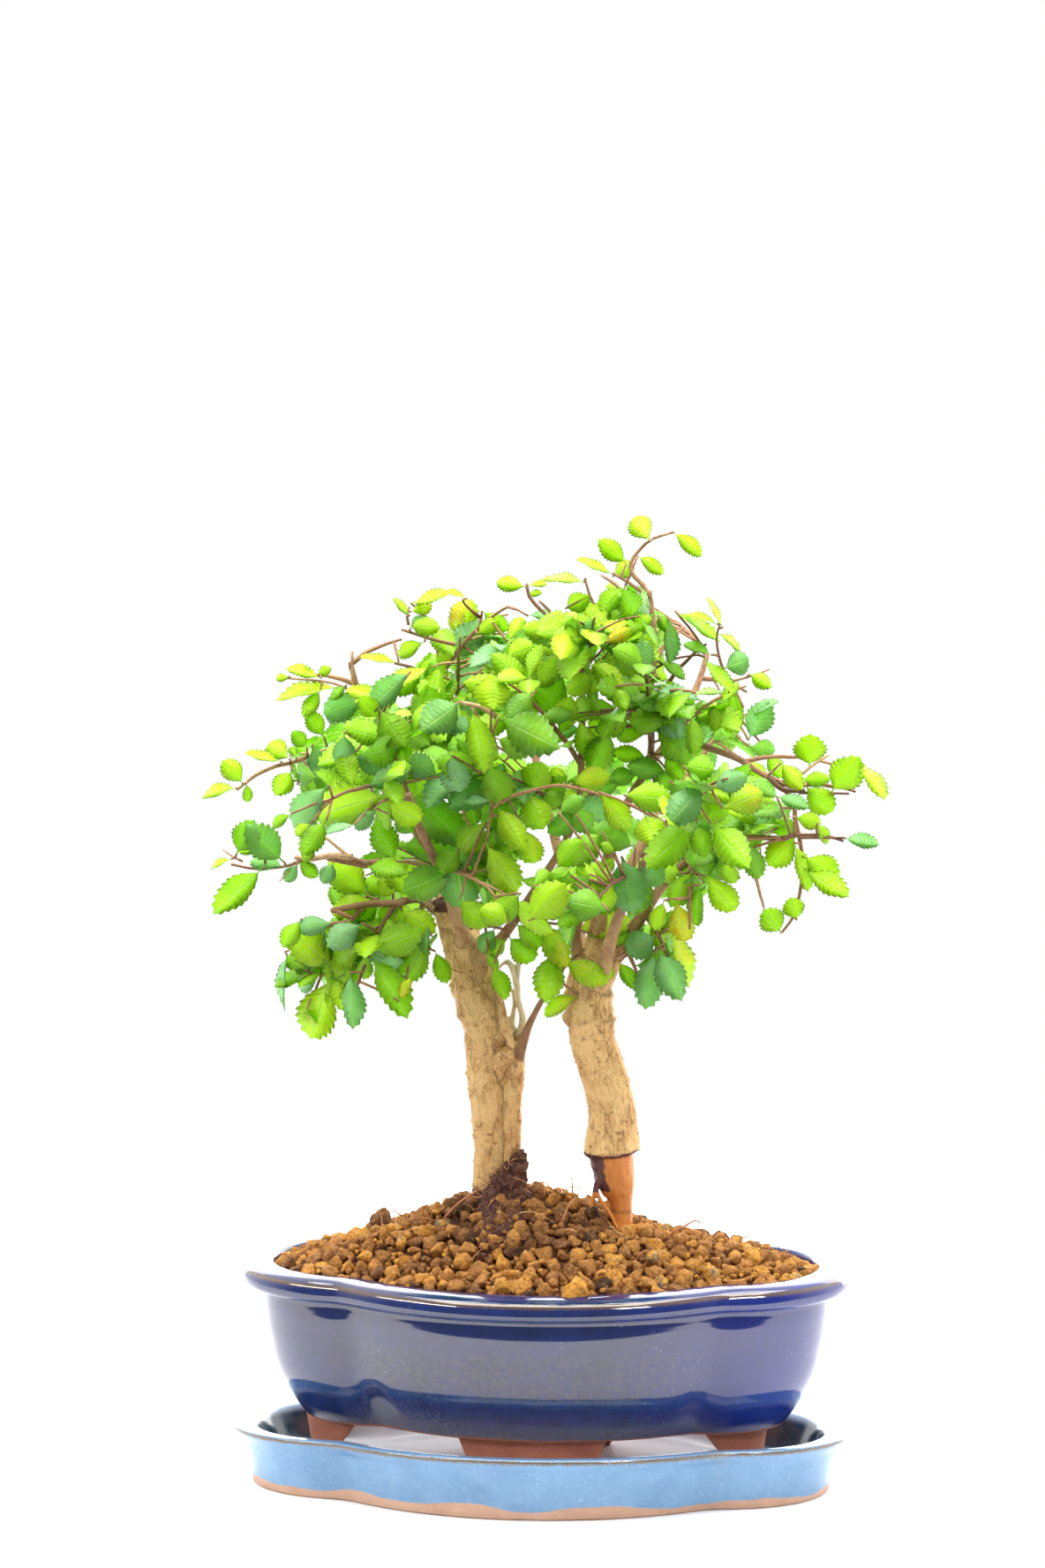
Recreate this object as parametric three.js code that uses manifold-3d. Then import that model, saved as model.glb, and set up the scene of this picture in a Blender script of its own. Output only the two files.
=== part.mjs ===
// A Chinese elm bonsai in a four-lobed glazed pot on its saucer.
// Millimetres, +Z up. The origin is the middle of the saucer's flat underside, and -Y is the front.
import * as THREE from "three";
import { mergeVertices } from "three/addons/utils/BufferGeometryUtils.js";
import Module from "manifold-3d";

const wasm = await Module();
wasm.setup();

// Driving dimensions
const GAP = 0.3; // between pieces that touch
const POT_X = 1.8; // the pot stands a little to the right of the saucer's middle
const POT_WIDTH = 206; // over the lip
const POT_DEPTH = 132;
const POT_TOP = 76; // the rim above the surface that the saucer stands on
const POT_FLOOR = 30; // inner floor
const POT_BOTTOM = 22.5; // underside between the feet
const SAUCER_WIDTH = 210.4;
const SAUCER_DEPTH = 135;
const SAUCER_HEIGHT = 20.2;
const SAUCER_FLOOR = 6;
const NOTCH_X = 65.4; // where the lobes of the pot's rim meet
const NOTCH_Y = 41.6;
const NOTCH_INSET_X = 0.6; // how a notch moves for each millimetre that the outline shrinks
const NOTCH_INSET_Y = 0.8;
const CORE = 0.74; // inside this share of the half width the outline only shrinks in scale
const LOBE_STEPS = 12; // facets a lobe
const DRAIN_X = 30;
const DRAIN_RADIUS = 5.5;
const SCREEN_SIDE = 24;
const SCREEN_THICKNESS = 1;
const SOIL_EDGE = 73; // soil height at the pot wall
const SOIL_DOME = 14; // rise of the soil at the middle
const CLUMP_RISE = 13.5; // more rise round the left trunk
const CLUMP = { x: -8, y: 4, spreadX: 24, spreadY: 22 };
const TWIG_START = 0.85; // radii of a leafy twig
const TWIG_END = 0.45;
const TWIG_ARCH = 0.15; // rise of its middle, as a share of its length
const LEAF_SPACING = 4.4; // along a twig
const MOST_LEAVES = 14;
const LEAF_LENGTH = 17.5; // the mean, with its stalk
const LEAF_WIDTH = 0.52; // as a share of the length
const LEAF_FOLD = 0.14; // how far the edges stand above the midrib, as a share of the length

// Small shape helpers

function solidOf(geometry) {
  const bare = geometry.clone();
  bare.deleteAttribute("normal");
  bare.deleteAttribute("uv");
  const merged = mergeVertices(bare, 1e-4);
  return new wasm.Manifold(
    new wasm.Mesh({
      numProp: 3,
      vertProperties: new Float32Array(merged.attributes.position.array),
      triVerts: new Uint32Array(merged.index.array),
    }),
  );
}

function meshOf(name, solid, material) {
  const { vertProperties, triVerts } = solid.getMesh();
  const geometry = new THREE.BufferGeometry();
  geometry.setAttribute("position", new THREE.BufferAttribute(vertProperties, 3));
  geometry.setIndex(new THREE.BufferAttribute(triVerts, 1));
  geometry.computeVertexNormals();
  const mesh = new THREE.Mesh(geometry, material);
  mesh.name = name;
  return mesh;
}

function largest(solid) {
  return solid.decompose().reduce((a, b) => (b.volume() > a.volume() ? b : a));
}

const finish = (color, roughness, metalness = 0) =>
  new THREE.MeshStandardMaterial({ color, roughness, metalness });

const v3 = (p) => new THREE.Vector3(p[0], p[1], p[2]);

// The lobed plan of pot and saucer: four bowed sides that meet in soft notches.

function bow(halfChord, rise, u) {
  const radius = (halfChord ** 2 + rise ** 2) / (2 * rise);
  const half = Math.atan2(halfChord, radius - rise);
  const angle = half * (2 * u - 1);
  return { along: radius * Math.sin(angle), out: radius * Math.cos(angle) - radius + rise };
}

function planPoint(turn, halfWidth, halfDepth, inset) {
  const side = Math.floor(turn * 4) % 4;
  const u = turn * 4 - Math.floor(turn * 4);
  const nx = NOTCH_X - NOTCH_INSET_X * inset;
  const ny = NOTCH_Y - NOTCH_INSET_Y * inset;
  const end = bow(ny, halfWidth - inset - nx, u);
  const front = bow(nx, halfDepth - inset - ny, u);
  if (side === 0) return [nx + end.out, end.along];
  if (side === 1) return [-front.along, ny + front.out];
  if (side === 2) return [-nx - end.out, -end.along];
  return [front.along, -ny - front.out];
}

// A closed profile of [half width, height] pairs, carried round the lobed plan whose middle is at middleX.
function lobed(profile, width, depth, middleX, height = (x, y, z) => z) {
  const points = profile.map(([r, z]) => new THREE.Vector2(r, z));
  const geometry = new THREE.LatheGeometry(points, 4 * LOBE_STEPS);
  const p = geometry.attributes.position;
  const core = (CORE * width) / 2;
  for (let i = 0; i < p.count; i++) {
    const r = Math.hypot(p.getX(i), p.getZ(i));
    const turn = (Math.atan2(p.getX(i), p.getZ(i)) / (2 * Math.PI) + 1) % 1;
    const step = Math.round(turn * 4 * LOBE_STEPS) / (4 * LOBE_STEPS);
    const scale = Math.min(1, r / core);
    const [x, y] = planPoint(step % 1, width / 2, depth / 2, width / 2 - Math.max(r, core));
    const placeX = middleX + x * scale;
    p.setXYZ(i, placeX, y * scale, height(placeX, y * scale, p.getY(i), r));
  }
  return solidOf(geometry);
}

// A tapered limb: a closed cylinder bent along a smooth route of [x, y, z, radius] points.
function limb(route, sides, steps, grow = 0) {
  const curve = new THREE.CatmullRomCurve3(route.map(v3), false, "catmullrom", 0.5);
  return bent(curve, (t) => radiusAt(route, t), sides, steps, grow);
}

function radiusAt(route, t) {
  const at = t * (route.length - 1);
  const i = Math.min(Math.floor(at), route.length - 2);
  return route[i][3] + (route[i + 1][3] - route[i][3]) * (at - i);
}

function bent(curve, radius, sides, steps, grow) {
  const rings = [];
  let side = new THREE.Vector3(1, 0, 0);
  for (let i = 0; i <= steps; i++) {
    const t = i / steps;
    const along = curve.getTangent(t);
    side = side.clone().addScaledVector(along, -side.dot(along)).normalize();
    const across = new THREE.Vector3().crossVectors(along, side);
    const end = i === 0 ? -grow : i === steps ? grow : 0;
    const centre = curve.getPoint(t).addScaledVector(along, end);
    rings.push({ centre, side, across, radius: radius(t) + grow });
  }
  const geometry = new THREE.CylinderGeometry(1, 1, steps, sides, steps);
  const p = geometry.attributes.position;
  for (let i = 0; i < p.count; i++) {
    const ring = rings[Math.round(p.getY(i) + steps / 2)];
    const place = ring.centre
      .clone()
      .addScaledVector(ring.side, p.getZ(i) * ring.radius)
      .addScaledVector(ring.across, p.getX(i) * ring.radius);
    p.setXYZ(i, place.x, place.y, place.z);
  }
  return solidOf(geometry);
}

// Saucer

const saucer = lobed(
  [
    [0, 0],
    [97.5, 0],
    [98.5, 5],
    [101.8, 15.6],
    [105.2, 18.6],
    [104.6, SAUCER_HEIGHT],
    [97.2, 18.8],
    [92, 9],
    [88, SAUCER_FLOOR + 0.4],
    [0, SAUCER_FLOOR],
  ],
  SAUCER_WIDTH,
  SAUCER_DEPTH,
  0,
);

// Pot: one fired piece, with four feet under the lobes and two drain holes

const FOOT_BOTTOM = SAUCER_FLOOR + 0.4 + GAP;
const MIDDLE_FOOT = 25.5; // half the width of the front and back feet at the top
const END_FOOT = 58; // from the pot's middle to where an end foot begins
const MIDDLE_TAPER = 7; // how much narrower, on each side, the front and back feet are at the bottom
const END_TAPER = 10;

// The gap on one side, from the front and back feet out to the end foot
function gapBetweenFeet(side) {
  const outline = new THREE.Shape([
    new THREE.Vector2(POT_X + side * (MIDDLE_FOOT - MIDDLE_TAPER), FOOT_BOTTOM - 1),
    new THREE.Vector2(POT_X + side * (END_FOOT + END_TAPER), FOOT_BOTTOM - 1),
    new THREE.Vector2(POT_X + side * END_FOOT, POT_BOTTOM),
    new THREE.Vector2(POT_X + side * MIDDLE_FOOT, POT_BOTTOM),
  ]);
  const prism = new THREE.ExtrudeGeometry(outline, { depth: POT_DEPTH, bevelEnabled: false });
  prism.translate(0, 0, -POT_DEPTH / 2);
  prism.rotateX(Math.PI / 2);
  return solidOf(prism);
}

function drainHole(x) {
  const hole = new THREE.CylinderGeometry(DRAIN_RADIUS, DRAIN_RADIUS, 30, 12);
  hole.rotateX(Math.PI / 2);
  hole.translate(POT_X + x, 0, POT_FLOOR);
  return solidOf(hole);
}

const bowl = lobed(
  [
    [0, POT_BOTTOM],
    [80, POT_BOTTOM],
    [86.5, 30],
    [92, 42],
    [95.2, 55],
    [96, 66],
    [101.8, 69],
    [103, 73],
    [100.6, POT_TOP],
    [93.8, POT_TOP],
    [92, 72],
    [87.4, 52],
    [77, POT_FLOOR + 1],
    [0, POT_FLOOR],
  ],
  POT_WIDTH,
  POT_DEPTH,
  POT_X,
);

const footRing = lobed(
  [
    [70.5, FOOT_BOTTOM],
    [77.4, FOOT_BOTTOM],
    [79.6, POT_BOTTOM + 2],
    [67.5, POT_BOTTOM + 2],
    [70.5, FOOT_BOTTOM],
  ],
  POT_WIDTH,
  POT_DEPTH,
  POT_X,
);

const pot = bowl
  .add(footRing.subtract(gapBetweenFeet(-1)).subtract(gapBetweenFeet(1)))
  .subtract(drainHole(-DRAIN_X))
  .subtract(drainHole(DRAIN_X));

function drainScreen(x) {
  const plate = new THREE.BoxGeometry(SCREEN_SIDE, SCREEN_SIDE, SCREEN_THICKNESS);
  plate.translate(POT_X + x, 0, POT_FLOOR + 0.5 + GAP + SCREEN_THICKNESS / 2);
  return solidOf(plate);
}

// The wood: two trunks in one pot, each with its main branches, grown as one piece.
// Each route is a list of [x, y, z, radius] points.

const LEFT_WOOD = {
  stem: [
    [-14, 5, 60, 7],
    [-16, 4, 85, 6.6],
    [-17, 4, 98, 6.2],
    [-17, 4, 113, 5.9],
    [-17.5, 3, 127, 6.3],
    [-18.5, 3, 141, 6.8],
    [-18.5, 2, 155, 7.4],
    [-22, 2, 168, 7.9],
    [-25, 1, 179, 7],
    [-29.5, 0, 190, 5.4],
    [-33, 0, 200, 3.2],
  ],
  pruned_stub: [
    [-17, 3, 139, 4],
    [-11, -5, 147, 2.9],
  ],
  side_stem: [
    [-6, 3, 66, 3.4],
    [-9, 2, 87, 3.4],
    [-9.5, 2, 102, 3.3],
    [-9.5, 1, 127, 3.1],
    [-8, 0, 141, 3],
    [-7, -1, 150, 2.3],
  ],
  dark_twig: [
    [-8, 0, 145, 1.8],
    [-3, -4, 157, 1.1],
    [3, -8, 168, 0.9],
  ],
  dead_stem: [
    [-8, 1, 145, 1.7],
    [-8, 2, 162, 1.2],
    [-8, 3, 177, 0.9],
  ],
  right_riser: [
    [-22, 0, 174, 2.8],
    [-10, -6, 189, 1.8],
    [1, -12, 205, 1.5],
    [11, -17, 221, 1.4],
    [15, -18, 234, 1.3],
    [16, -18, 247, 1.3],
    [16, -16, 268, 1.2],
    [15, -12, 282, 1],
  ],
  left_arm: [
    [-28, 0, 190, 3.2],
    [-35, -4, 195, 1.9],
    [-40, -8, 199, 1.6],
    [-47, -12, 198, 1.4],
    [-56, -16, 198, 1.3],
    [-68, -20, 196, 1.1],
  ],
  left_leader: [
    [-28, 2, 186, 3.4],
    [-38, 8, 210, 2.4],
    [-48, 12, 231, 1.9],
    [-57, 14, 250, 1.5],
    [-63, 14, 265, 1.2],
    [-66, 12, 277, 1],
  ],
  left_low: [
    [-37, 7, 207, 2],
    [-48, -6, 211, 1.5],
    [-58, -18, 212, 1.4],
    [-69, -22, 214, 1.1],
  ],
  crown_left: [
    [-24, 4, 180, 3.6],
    [-26, 14, 207, 2.4],
    [-28, 22, 230, 1.9],
    [-32, 28, 253, 1.5],
    [-37, 30, 274, 1.2],
    [-40, 30, 287, 1],
  ],
  back_left: [
    [-24, 5, 180, 3.2],
    [-36, 28, 203, 2.1],
    [-49, 48, 219, 1.6],
    [-64, 64, 230, 1.2],
  ],
  front_left: [
    [-25, -2, 182, 3],
    [-29, -22, 206, 1.9],
    [-35, -40, 226, 1.5],
    [-40, -54, 242, 1.2],
  ],
};

const RIGHT_WOOD = {
  stem: [
    [31, -4, 58, 4.6],
    [29, -6, 80, 4],
    [28, -6, 96, 3.9],
    [27, -6, 102, 5],
    [25, -6, 110, 7],
    [25, -6, 116, 8.2],
    [25, -6, 127, 8],
    [23, -6, 138, 7.7],
    [20, -6, 147, 7.4],
    [18, -6, 156, 7.6],
    [17, -6, 168, 7.7],
    [17, -6, 178, 6],
  ],
  tall_leader: [
    [18, -6, 168, 4.6],
    [20, -8, 186, 3.5],
    [22, -10, 203, 2.3],
    [26, -12, 221, 1.9],
    [32, -12, 235, 1.6],
    [38, -10, 247, 1.3],
    [38, -8, 269, 1.2],
    [39, -6, 286, 1.1],
    [37, -4, 303, 0.9],
  ],
  right_sweep: [
    [15, -8, 170, 3],
    [13, -7, 187, 1.8],
    [15, -3, 205, 1.7],
    [17, 0, 228, 1.6],
    [18, 2, 249, 1.5],
    [23, 2, 258, 1.5],
    [30, 1, 260, 1.4],
    [42, -4, 256, 1.4],
    [54, -8, 252, 1.3],
    [67, -12, 248, 1.2],
    [76, -15, 243, 1.1],
    [89, -18, 238, 0.9],
  ],
  right_arm: [
    [21, -5, 170, 3.6],
    [29, -8, 185, 2.4],
    [35, -12, 194, 2.1],
    [45, -18, 208, 1.7],
    [58, -22, 219, 1.5],
    [71, -26, 223, 1.2],
    [85, -28, 223, 1],
  ],
  back_right: [
    [18, -3, 170, 3.4],
    [21, 20, 190, 2.2],
    [28, 40, 209, 1.8],
    [38, 56, 227, 1.5],
    [48, 66, 240, 1.2],
  ],
  front_right: [
    [21, -10, 171, 3],
    [30, -34, 197, 1.9],
    [40, -50, 216, 1.5],
    [49, -62, 232, 1.2],
  ],
  back_centre: [
    [15, -3, 170, 3.4],
    [9, 24, 192, 2.2],
    [0, 44, 214, 1.8],
    [-7, 58, 234, 1.5],
    [-12, 66, 252, 1.1],
  ],
  top_back: [
    [36, -10, 243, 1.6],
    [44, 12, 254, 1.5],
    [50, 26, 268, 1.2],
    [53, 34, 279, 1],
  ],
};

// Roots that hold each trunk in the soil
const LEFT_ROOTS = [
  [[-14, 5, 66, 3.6], [-36, 12, 56, 2.2], [-56, 8, 46, 1]],
  [[-14, 5, 66, 3.6], [-8, -18, 56, 2], [-14, -34, 46, 1]],
  [[-14, 5, 66, 3.6], [-2, 20, 54, 2], [-12, 34, 44, 1]],
];
const RIGHT_ROOTS = [
  [[31, -4, 64, 3], [48, -14, 54, 2], [62, -10, 44, 1]],
  [[31, -4, 64, 3], [40, 12, 56, 2], [52, 26, 46, 1]],
];

const STEM_SIDES = 10;
const BRANCH_SIDES = 6;
const TWIG_SIDES = 4;
const TWIG_STEPS = 4;

function trunk(wood, roots, grow = 0) {
  const limbs = Object.entries(wood).map(([name, route]) =>
    name === "stem"
      ? limb(route, STEM_SIDES, route.length + 1, grow)
      : limb(route, BRANCH_SIDES, Math.max(3, route.length - 1), grow),
  );
  const rootLimbs = roots.map((route) => limb(route, BRANCH_SIDES, 3, grow));
  return [...limbs, ...rootLimbs].reduce((all, one) => all.add(one));
}

const leftTrunk = trunk(LEFT_WOOD, LEFT_ROOTS);
const rightTrunk = trunk(RIGHT_WOOD, RIGHT_ROOTS);
const woodSpace = trunk(LEFT_WOOD, LEFT_ROOTS, GAP).add(trunk(RIGHT_WOOD, RIGHT_ROOTS, GAP));

// Soil: fills the pot and mounds up round the trunks

function soilTop(x, y, share) {
  const dome = SOIL_EDGE + SOIL_DOME * (1 - share ** 3);
  const dx = (x - CLUMP.x) / CLUMP.spreadX;
  const dy = (y - CLUMP.y) / CLUMP.spreadY;
  return dome + CLUMP_RISE * (1 - share ** 4) * Math.exp(-(dx * dx + dy * dy) / 2);
}

const SOIL_RIM = 91;
const SOIL_BOTTOM = POT_FLOOR + 0.5 + 2 * GAP + SCREEN_THICKNESS;
const soil = lobed(
  [
    [0, SOIL_BOTTOM],
    [76, SOIL_BOTTOM],
    [86.6, 52],
    [SOIL_RIM, 71],
    [84, SOIL_EDGE],
    [66, SOIL_EDGE],
    [46, SOIL_EDGE],
    [26, SOIL_EDGE],
    [0, SOIL_EDGE],
  ],
  POT_WIDTH,
  POT_DEPTH,
  POT_X,
  (x, y, z, r) => (z === SOIL_EDGE ? soilTop(x, y, r / SOIL_RIM) : z),
).subtract(woodSpace);

// Leafy shoots: [branch, place along it, tip of the twig]

const SHOOTS = {
  far_left: ["left_leader", 0.62, [-106, -6, 236]],
  low_left_reach: ["left_low", 0.98, [-98, -22, 211]],
  upper_left: ["left_leader", 0.86, [-81, 10, 272]],
  left_back: ["back_left", 0.8, [-96, 40, 233]],
  left_heart: ["left_leader", 0.36, [-74, 2, 223]],
  crown_stub: ["left_leader", 0.98, [-49, 16, 284]],
  crown_left: ["crown_left", 0.98, [-42, 20, 292]],
  crown_centre: ["crown_left", 0.78, [-12, 12, 296]],
  crown_front: ["crown_left", 0.6, [-24, -22, 288]],
  crown_right: ["right_riser", 0.98, [-1, 6, 298]],
  crown_back: ["crown_left", 0.86, [-18, 56, 290]],
  mid_top: ["right_riser", 0.84, [22, -34, 296]],
  inner_mid: ["right_riser", 0.7, [-6, -36, 274]],
  front_centre: ["right_riser", 0.5, [-14, -50, 246]],
  inner_left: ["crown_left", 0.44, [-52, -18, 262]],
  front_left: ["front_left", 0.98, [-59, -72, 239]],
  front_upper_left: ["front_left", 0.75, [-46, -58, 264]],
  front_mid: ["front_left", 0.4, [-8, -56, 206]],
  back_left: ["back_left", 0.98, [-84, 84, 244]],
  back_low_left: ["back_left", 0.45, [-66, 56, 188]],
  left_tail: ["left_arm", 0.98, [-95, -24, 199]],
  low_far_left: ["left_arm", 0.82, [-77, -14, 162]],
  low_left_mid: ["left_arm", 0.6, [-58, -30, 171]],
  low_left: ["left_arm", 0.34, [-44, -12, 171]],
  low_centre: ["dark_twig", 0.96, [16, -18, 183]],
  top: ["tall_leader", 0.98, [38, -4, 317]],
  top_left: ["tall_leader", 0.9, [20, 6, 307]],
  top_right: ["tall_leader", 0.82, [48, 6, 290]],
  right_shoulder: ["tall_leader", 0.72, [57, -14, 286]],
  mid_top_right: ["tall_leader", 0.64, [40, -46, 282]],
  right_upper: ["right_sweep", 0.66, [69, 0, 271]],
  inner_right: ["right_sweep", 0.54, [56, -40, 272]],
  right_upper_back: ["top_back", 0.75, [66, 36, 266]],
  back_top: ["top_back", 0.98, [35, 56, 290]],
  right_end: ["right_sweep", 0.98, [107, -20, 238]],
  right_end_up: ["right_sweep", 0.84, [100, -4, 245]],
  right_mid: ["right_arm", 0.98, [104, -32, 223]],
  hang_right: ["right_sweep", 0.93, [86, -24, 199]],
  hang_right_back: ["back_right", 0.7, [80, 30, 217]],
  low_right: ["right_arm", 0.82, [76, -10, 198]],
  low_right_mid: ["right_arm", 0.6, [54, -38, 194]],
  low_right_centre: ["right_arm", 0.36, [46, -20, 180]],
  low_centre_right: ["right_arm", 0.16, [36, -22, 174]],
  front_right: ["front_right", 0.98, [70, -80, 248]],
  front_low_right: ["front_right", 0.6, [28, -78, 208]],
  back_right: ["back_right", 0.98, [60, 82, 254]],
  back_low_right: ["back_right", 0.5, [62, 58, 200]],
  back_high: ["back_centre", 0.98, [-26, 86, 272]],
  back_centre: ["back_centre", 0.66, [6, 86, 222]],
};

// Even draws between 0 and 1, the same on every run
let seed = 4711;
function draw() {
  seed = (seed * 16807) % 2147483647;
  return seed / 2147483647;
}

function branchCurve(name) {
  const route = LEFT_WOOD[name] || RIGHT_WOOD[name];
  return new THREE.CatmullRomCurve3(route.map(v3), false, "catmullrom", 0.5);
}

function twigCurve([branch, place, tip]) {
  const start = branchCurve(branch).getPoint(place);
  const end = v3(tip);
  const middle = start.clone().lerp(end, 0.5);
  middle.z += TWIG_ARCH * start.distanceTo(end);
  return new THREE.QuadraticBezierCurve3(start, middle, end);
}

// The leaves of a twig stand left and right in turn, and one ends it.
function leafPlan(curve) {
  const length = curve.v0.distanceTo(curve.v2);
  const count = Math.min(MOST_LEAVES, Math.round(length / LEAF_SPACING));
  const leaves = [];
  for (let i = 0; i < count; i++) {
    const last = i === count - 1;
    const t = last ? 0.98 : 0.24 + (0.74 * i) / (count - 1);
    leaves.push({
      t,
      side: i % 2 ? 1 : -1,
      open: last ? 0.1 : 0.75 + 0.5 * draw(),
      roll: 2 * (draw() - 0.5),
      length: LEAF_LENGTH * (0.78 + 0.5 * draw()) * (1 - 0.22 * t),
      droop: 0.5 * draw() - 0.15,
    });
  }
  return leaves;
}

// A leaf as its four corners: foot, tip and two raised edges.
function leafCorners(curve, leaf, turn, grow) {
  const along = curve.getTangent(leaf.t);
  const level = Math.abs(along.z) > 0.9 ? new THREE.Vector3(0, -1, 0) : new THREE.Vector3(0, 0, 1);
  const side = new THREE.Vector3().crossVectors(along, level).normalize();
  side.applyAxisAngle(along, leaf.roll + turn);
  const way = along
    .clone()
    .multiplyScalar(Math.cos(leaf.open))
    .addScaledVector(side, leaf.side * Math.sin(leaf.open));
  way.z -= leaf.droop;
  way.normalize();
  const up = new THREE.Vector3().crossVectors(side, along);
  up.addScaledVector(way, -up.dot(way)).normalize();
  const wide = new THREE.Vector3().crossVectors(up, way);
  const foot = curve.getPoint(leaf.t);
  const reach = leaf.length + grow;
  const half = (LEAF_WIDTH * leaf.length) / 2 + grow;
  const fold = LEAF_FOLD * leaf.length + grow;
  const middle = foot.clone().addScaledVector(way, 0.58 * leaf.length).addScaledVector(up, fold / 2);
  return [
    foot.clone().addScaledVector(up, -grow / 2),
    foot.clone().addScaledVector(way, reach).addScaledVector(up, -fold / 4),
    middle.clone().addScaledVector(wide, half),
    middle.clone().addScaledVector(wide, -half),
  ];
}

// The regular tetrahedron, skewed so that its corners meet the four given ones
function skewed([a, b, c, d]) {
  const corner = 1 / Math.sqrt(3);
  const scale = 1 / (4 * corner);
  const axis = (p, q, r, s) => p.clone().sub(q).sub(r).add(s).multiplyScalar(scale);
  const centre = a.clone().add(b).add(c).add(d).multiplyScalar(0.25);
  const matrix = new THREE.Matrix4()
    .makeBasis(axis(a, b, c, d), axis(a, b, d, c), axis(a, c, d, b))
    .setPosition(centre);
  if (matrix.determinant() < 0) return skewed([a, b, d, c]);
  return solidOf(new THREE.TetrahedronGeometry(1).applyMatrix4(matrix));
}

function reaches(box, other) {
  return [0, 1, 2].every((k) => box.min[k] <= other.max[k] && other.min[k] <= box.max[k]);
}

function meets(solid, others) {
  const box = solid.boundingBox();
  return others.some((o) => reaches(box, o.box) && solid.intersect(o.solid).volume() > 1e-6);
}

const boxed = (solid) => ({ solid, box: solid.boundingBox() });

const twigRadius = (t) => TWIG_START + (TWIG_END - TWIG_START) * t;

const soilSpace = boxed(soil);
const woodSpaces = [leftTrunk, rightTrunk].map(boxed);
const twigs = Object.entries(SHOOTS).map(([name, plan]) => {
  const curve = twigCurve(plan);
  const whole = bent(curve, twigRadius, TWIG_SIDES, TWIG_STEPS, 0).subtract(woodSpace);
  const space = boxed(bent(curve, twigRadius, TWIG_SIDES, TWIG_STEPS, GAP));
  return { name, curve, solid: largest(whole), space };
});

// A leaf that would touch another shoot is turned round its twig, and if no turn frees it, left out.
const TURNS = [0, 0.9, -0.9, 1.8, -1.8, 2.8];
const placedLeaves = [];
let leavesLeftOut = 0;

function shoot(twig) {
  const others = twigs.filter((t) => t !== twig).map((t) => t.space);
  const leaves = [];
  for (const leaf of leafPlan(twig.curve)) {
    const blocked = [...others, ...placedLeaves, ...woodSpaces, soilSpace];
    const turn = TURNS.find((angle) => !meets(skewed(leafCorners(twig.curve, leaf, angle, 0.4)), blocked));
    if (turn === undefined) {
      leavesLeftOut++;
      continue;
    }
    leaves.push(skewed(leafCorners(twig.curve, leaf, turn, 0)));
  }
  placedLeaves.push(...leaves.map(boxed));
  return largest(leaves.reduce((all, one) => all.add(one), twig.solid));
}

// Assembly

const GLAZE_BLUE = 0x14265c;
const GLAZE_SKY = 0xa9c4d6;
const AKADAMA = 0xa8763f;
const BARK_TAN = 0xa58c6b;
const LEAF_GREENS = [0x4c7a2c, 0x6a9436, 0x8bab3c, 0x3d6b36];

const bonsai = new THREE.Group();
const holder = new THREE.Group();
holder.add(meshOf("saucer", saucer, finish(GLAZE_SKY, 0.2)));
holder.add(meshOf("pot", pot, finish(GLAZE_BLUE, 0.15)));
holder.add(meshOf("drain_screen_left", drainScreen(-DRAIN_X), finish(0x2b2b2b, 0.7)));
holder.add(meshOf("drain_screen_right", drainScreen(DRAIN_X), finish(0x2b2b2b, 0.7)));
bonsai.add(holder);
bonsai.add(meshOf("soil", largest(soil), finish(AKADAMA, 1)));

const tree = new THREE.Group();
tree.add(meshOf("left_trunk", leftTrunk, finish(BARK_TAN, 0.85)));
tree.add(meshOf("right_trunk", rightTrunk, finish(BARK_TAN, 0.85)));
twigs.forEach((twig, i) => {
  const green = finish(LEAF_GREENS[i % LEAF_GREENS.length], 0.5);
  tree.add(meshOf("shoot_" + twig.name, shoot(twig), green));
});
bonsai.add(tree);
bonsai.userData = { leavesLeftOut, leaves: placedLeaves.length };

export default bonsai;
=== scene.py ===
# %% [markdown]
# # A small bonsai in a glazed pot
#
# Two little trees stand in a four-lobed blue pot on a sky-blue saucer. Their shape and size were settled in
# CAD. This lesson gives them their looks: glaze, bare clay, granular soil, bark and over a thousand leaves.
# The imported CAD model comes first, so that every new piece can be made where its plain stand-in is.

# %% Load the frame
import math
import random

import bmesh
import bpy
from mathutils import Matrix, Vector, noise
from mathutils.kdtree import KDTree


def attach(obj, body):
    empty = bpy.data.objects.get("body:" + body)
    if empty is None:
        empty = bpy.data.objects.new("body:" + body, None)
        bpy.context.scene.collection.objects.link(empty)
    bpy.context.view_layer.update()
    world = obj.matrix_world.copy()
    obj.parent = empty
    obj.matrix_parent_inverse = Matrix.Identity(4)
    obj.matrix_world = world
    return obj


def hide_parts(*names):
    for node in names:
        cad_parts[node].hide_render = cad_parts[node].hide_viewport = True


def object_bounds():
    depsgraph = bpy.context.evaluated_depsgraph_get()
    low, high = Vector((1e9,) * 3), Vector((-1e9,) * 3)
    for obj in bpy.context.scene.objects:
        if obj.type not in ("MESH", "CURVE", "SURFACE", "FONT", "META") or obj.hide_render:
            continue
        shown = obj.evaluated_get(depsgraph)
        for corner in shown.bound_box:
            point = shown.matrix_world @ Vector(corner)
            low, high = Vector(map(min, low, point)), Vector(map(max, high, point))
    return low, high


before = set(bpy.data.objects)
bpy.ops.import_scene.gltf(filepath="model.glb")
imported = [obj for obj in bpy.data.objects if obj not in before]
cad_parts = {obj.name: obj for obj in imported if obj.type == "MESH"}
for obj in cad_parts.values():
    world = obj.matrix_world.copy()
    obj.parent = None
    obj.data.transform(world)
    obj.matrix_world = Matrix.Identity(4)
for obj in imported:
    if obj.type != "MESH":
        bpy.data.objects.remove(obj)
cad_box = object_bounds()
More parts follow.
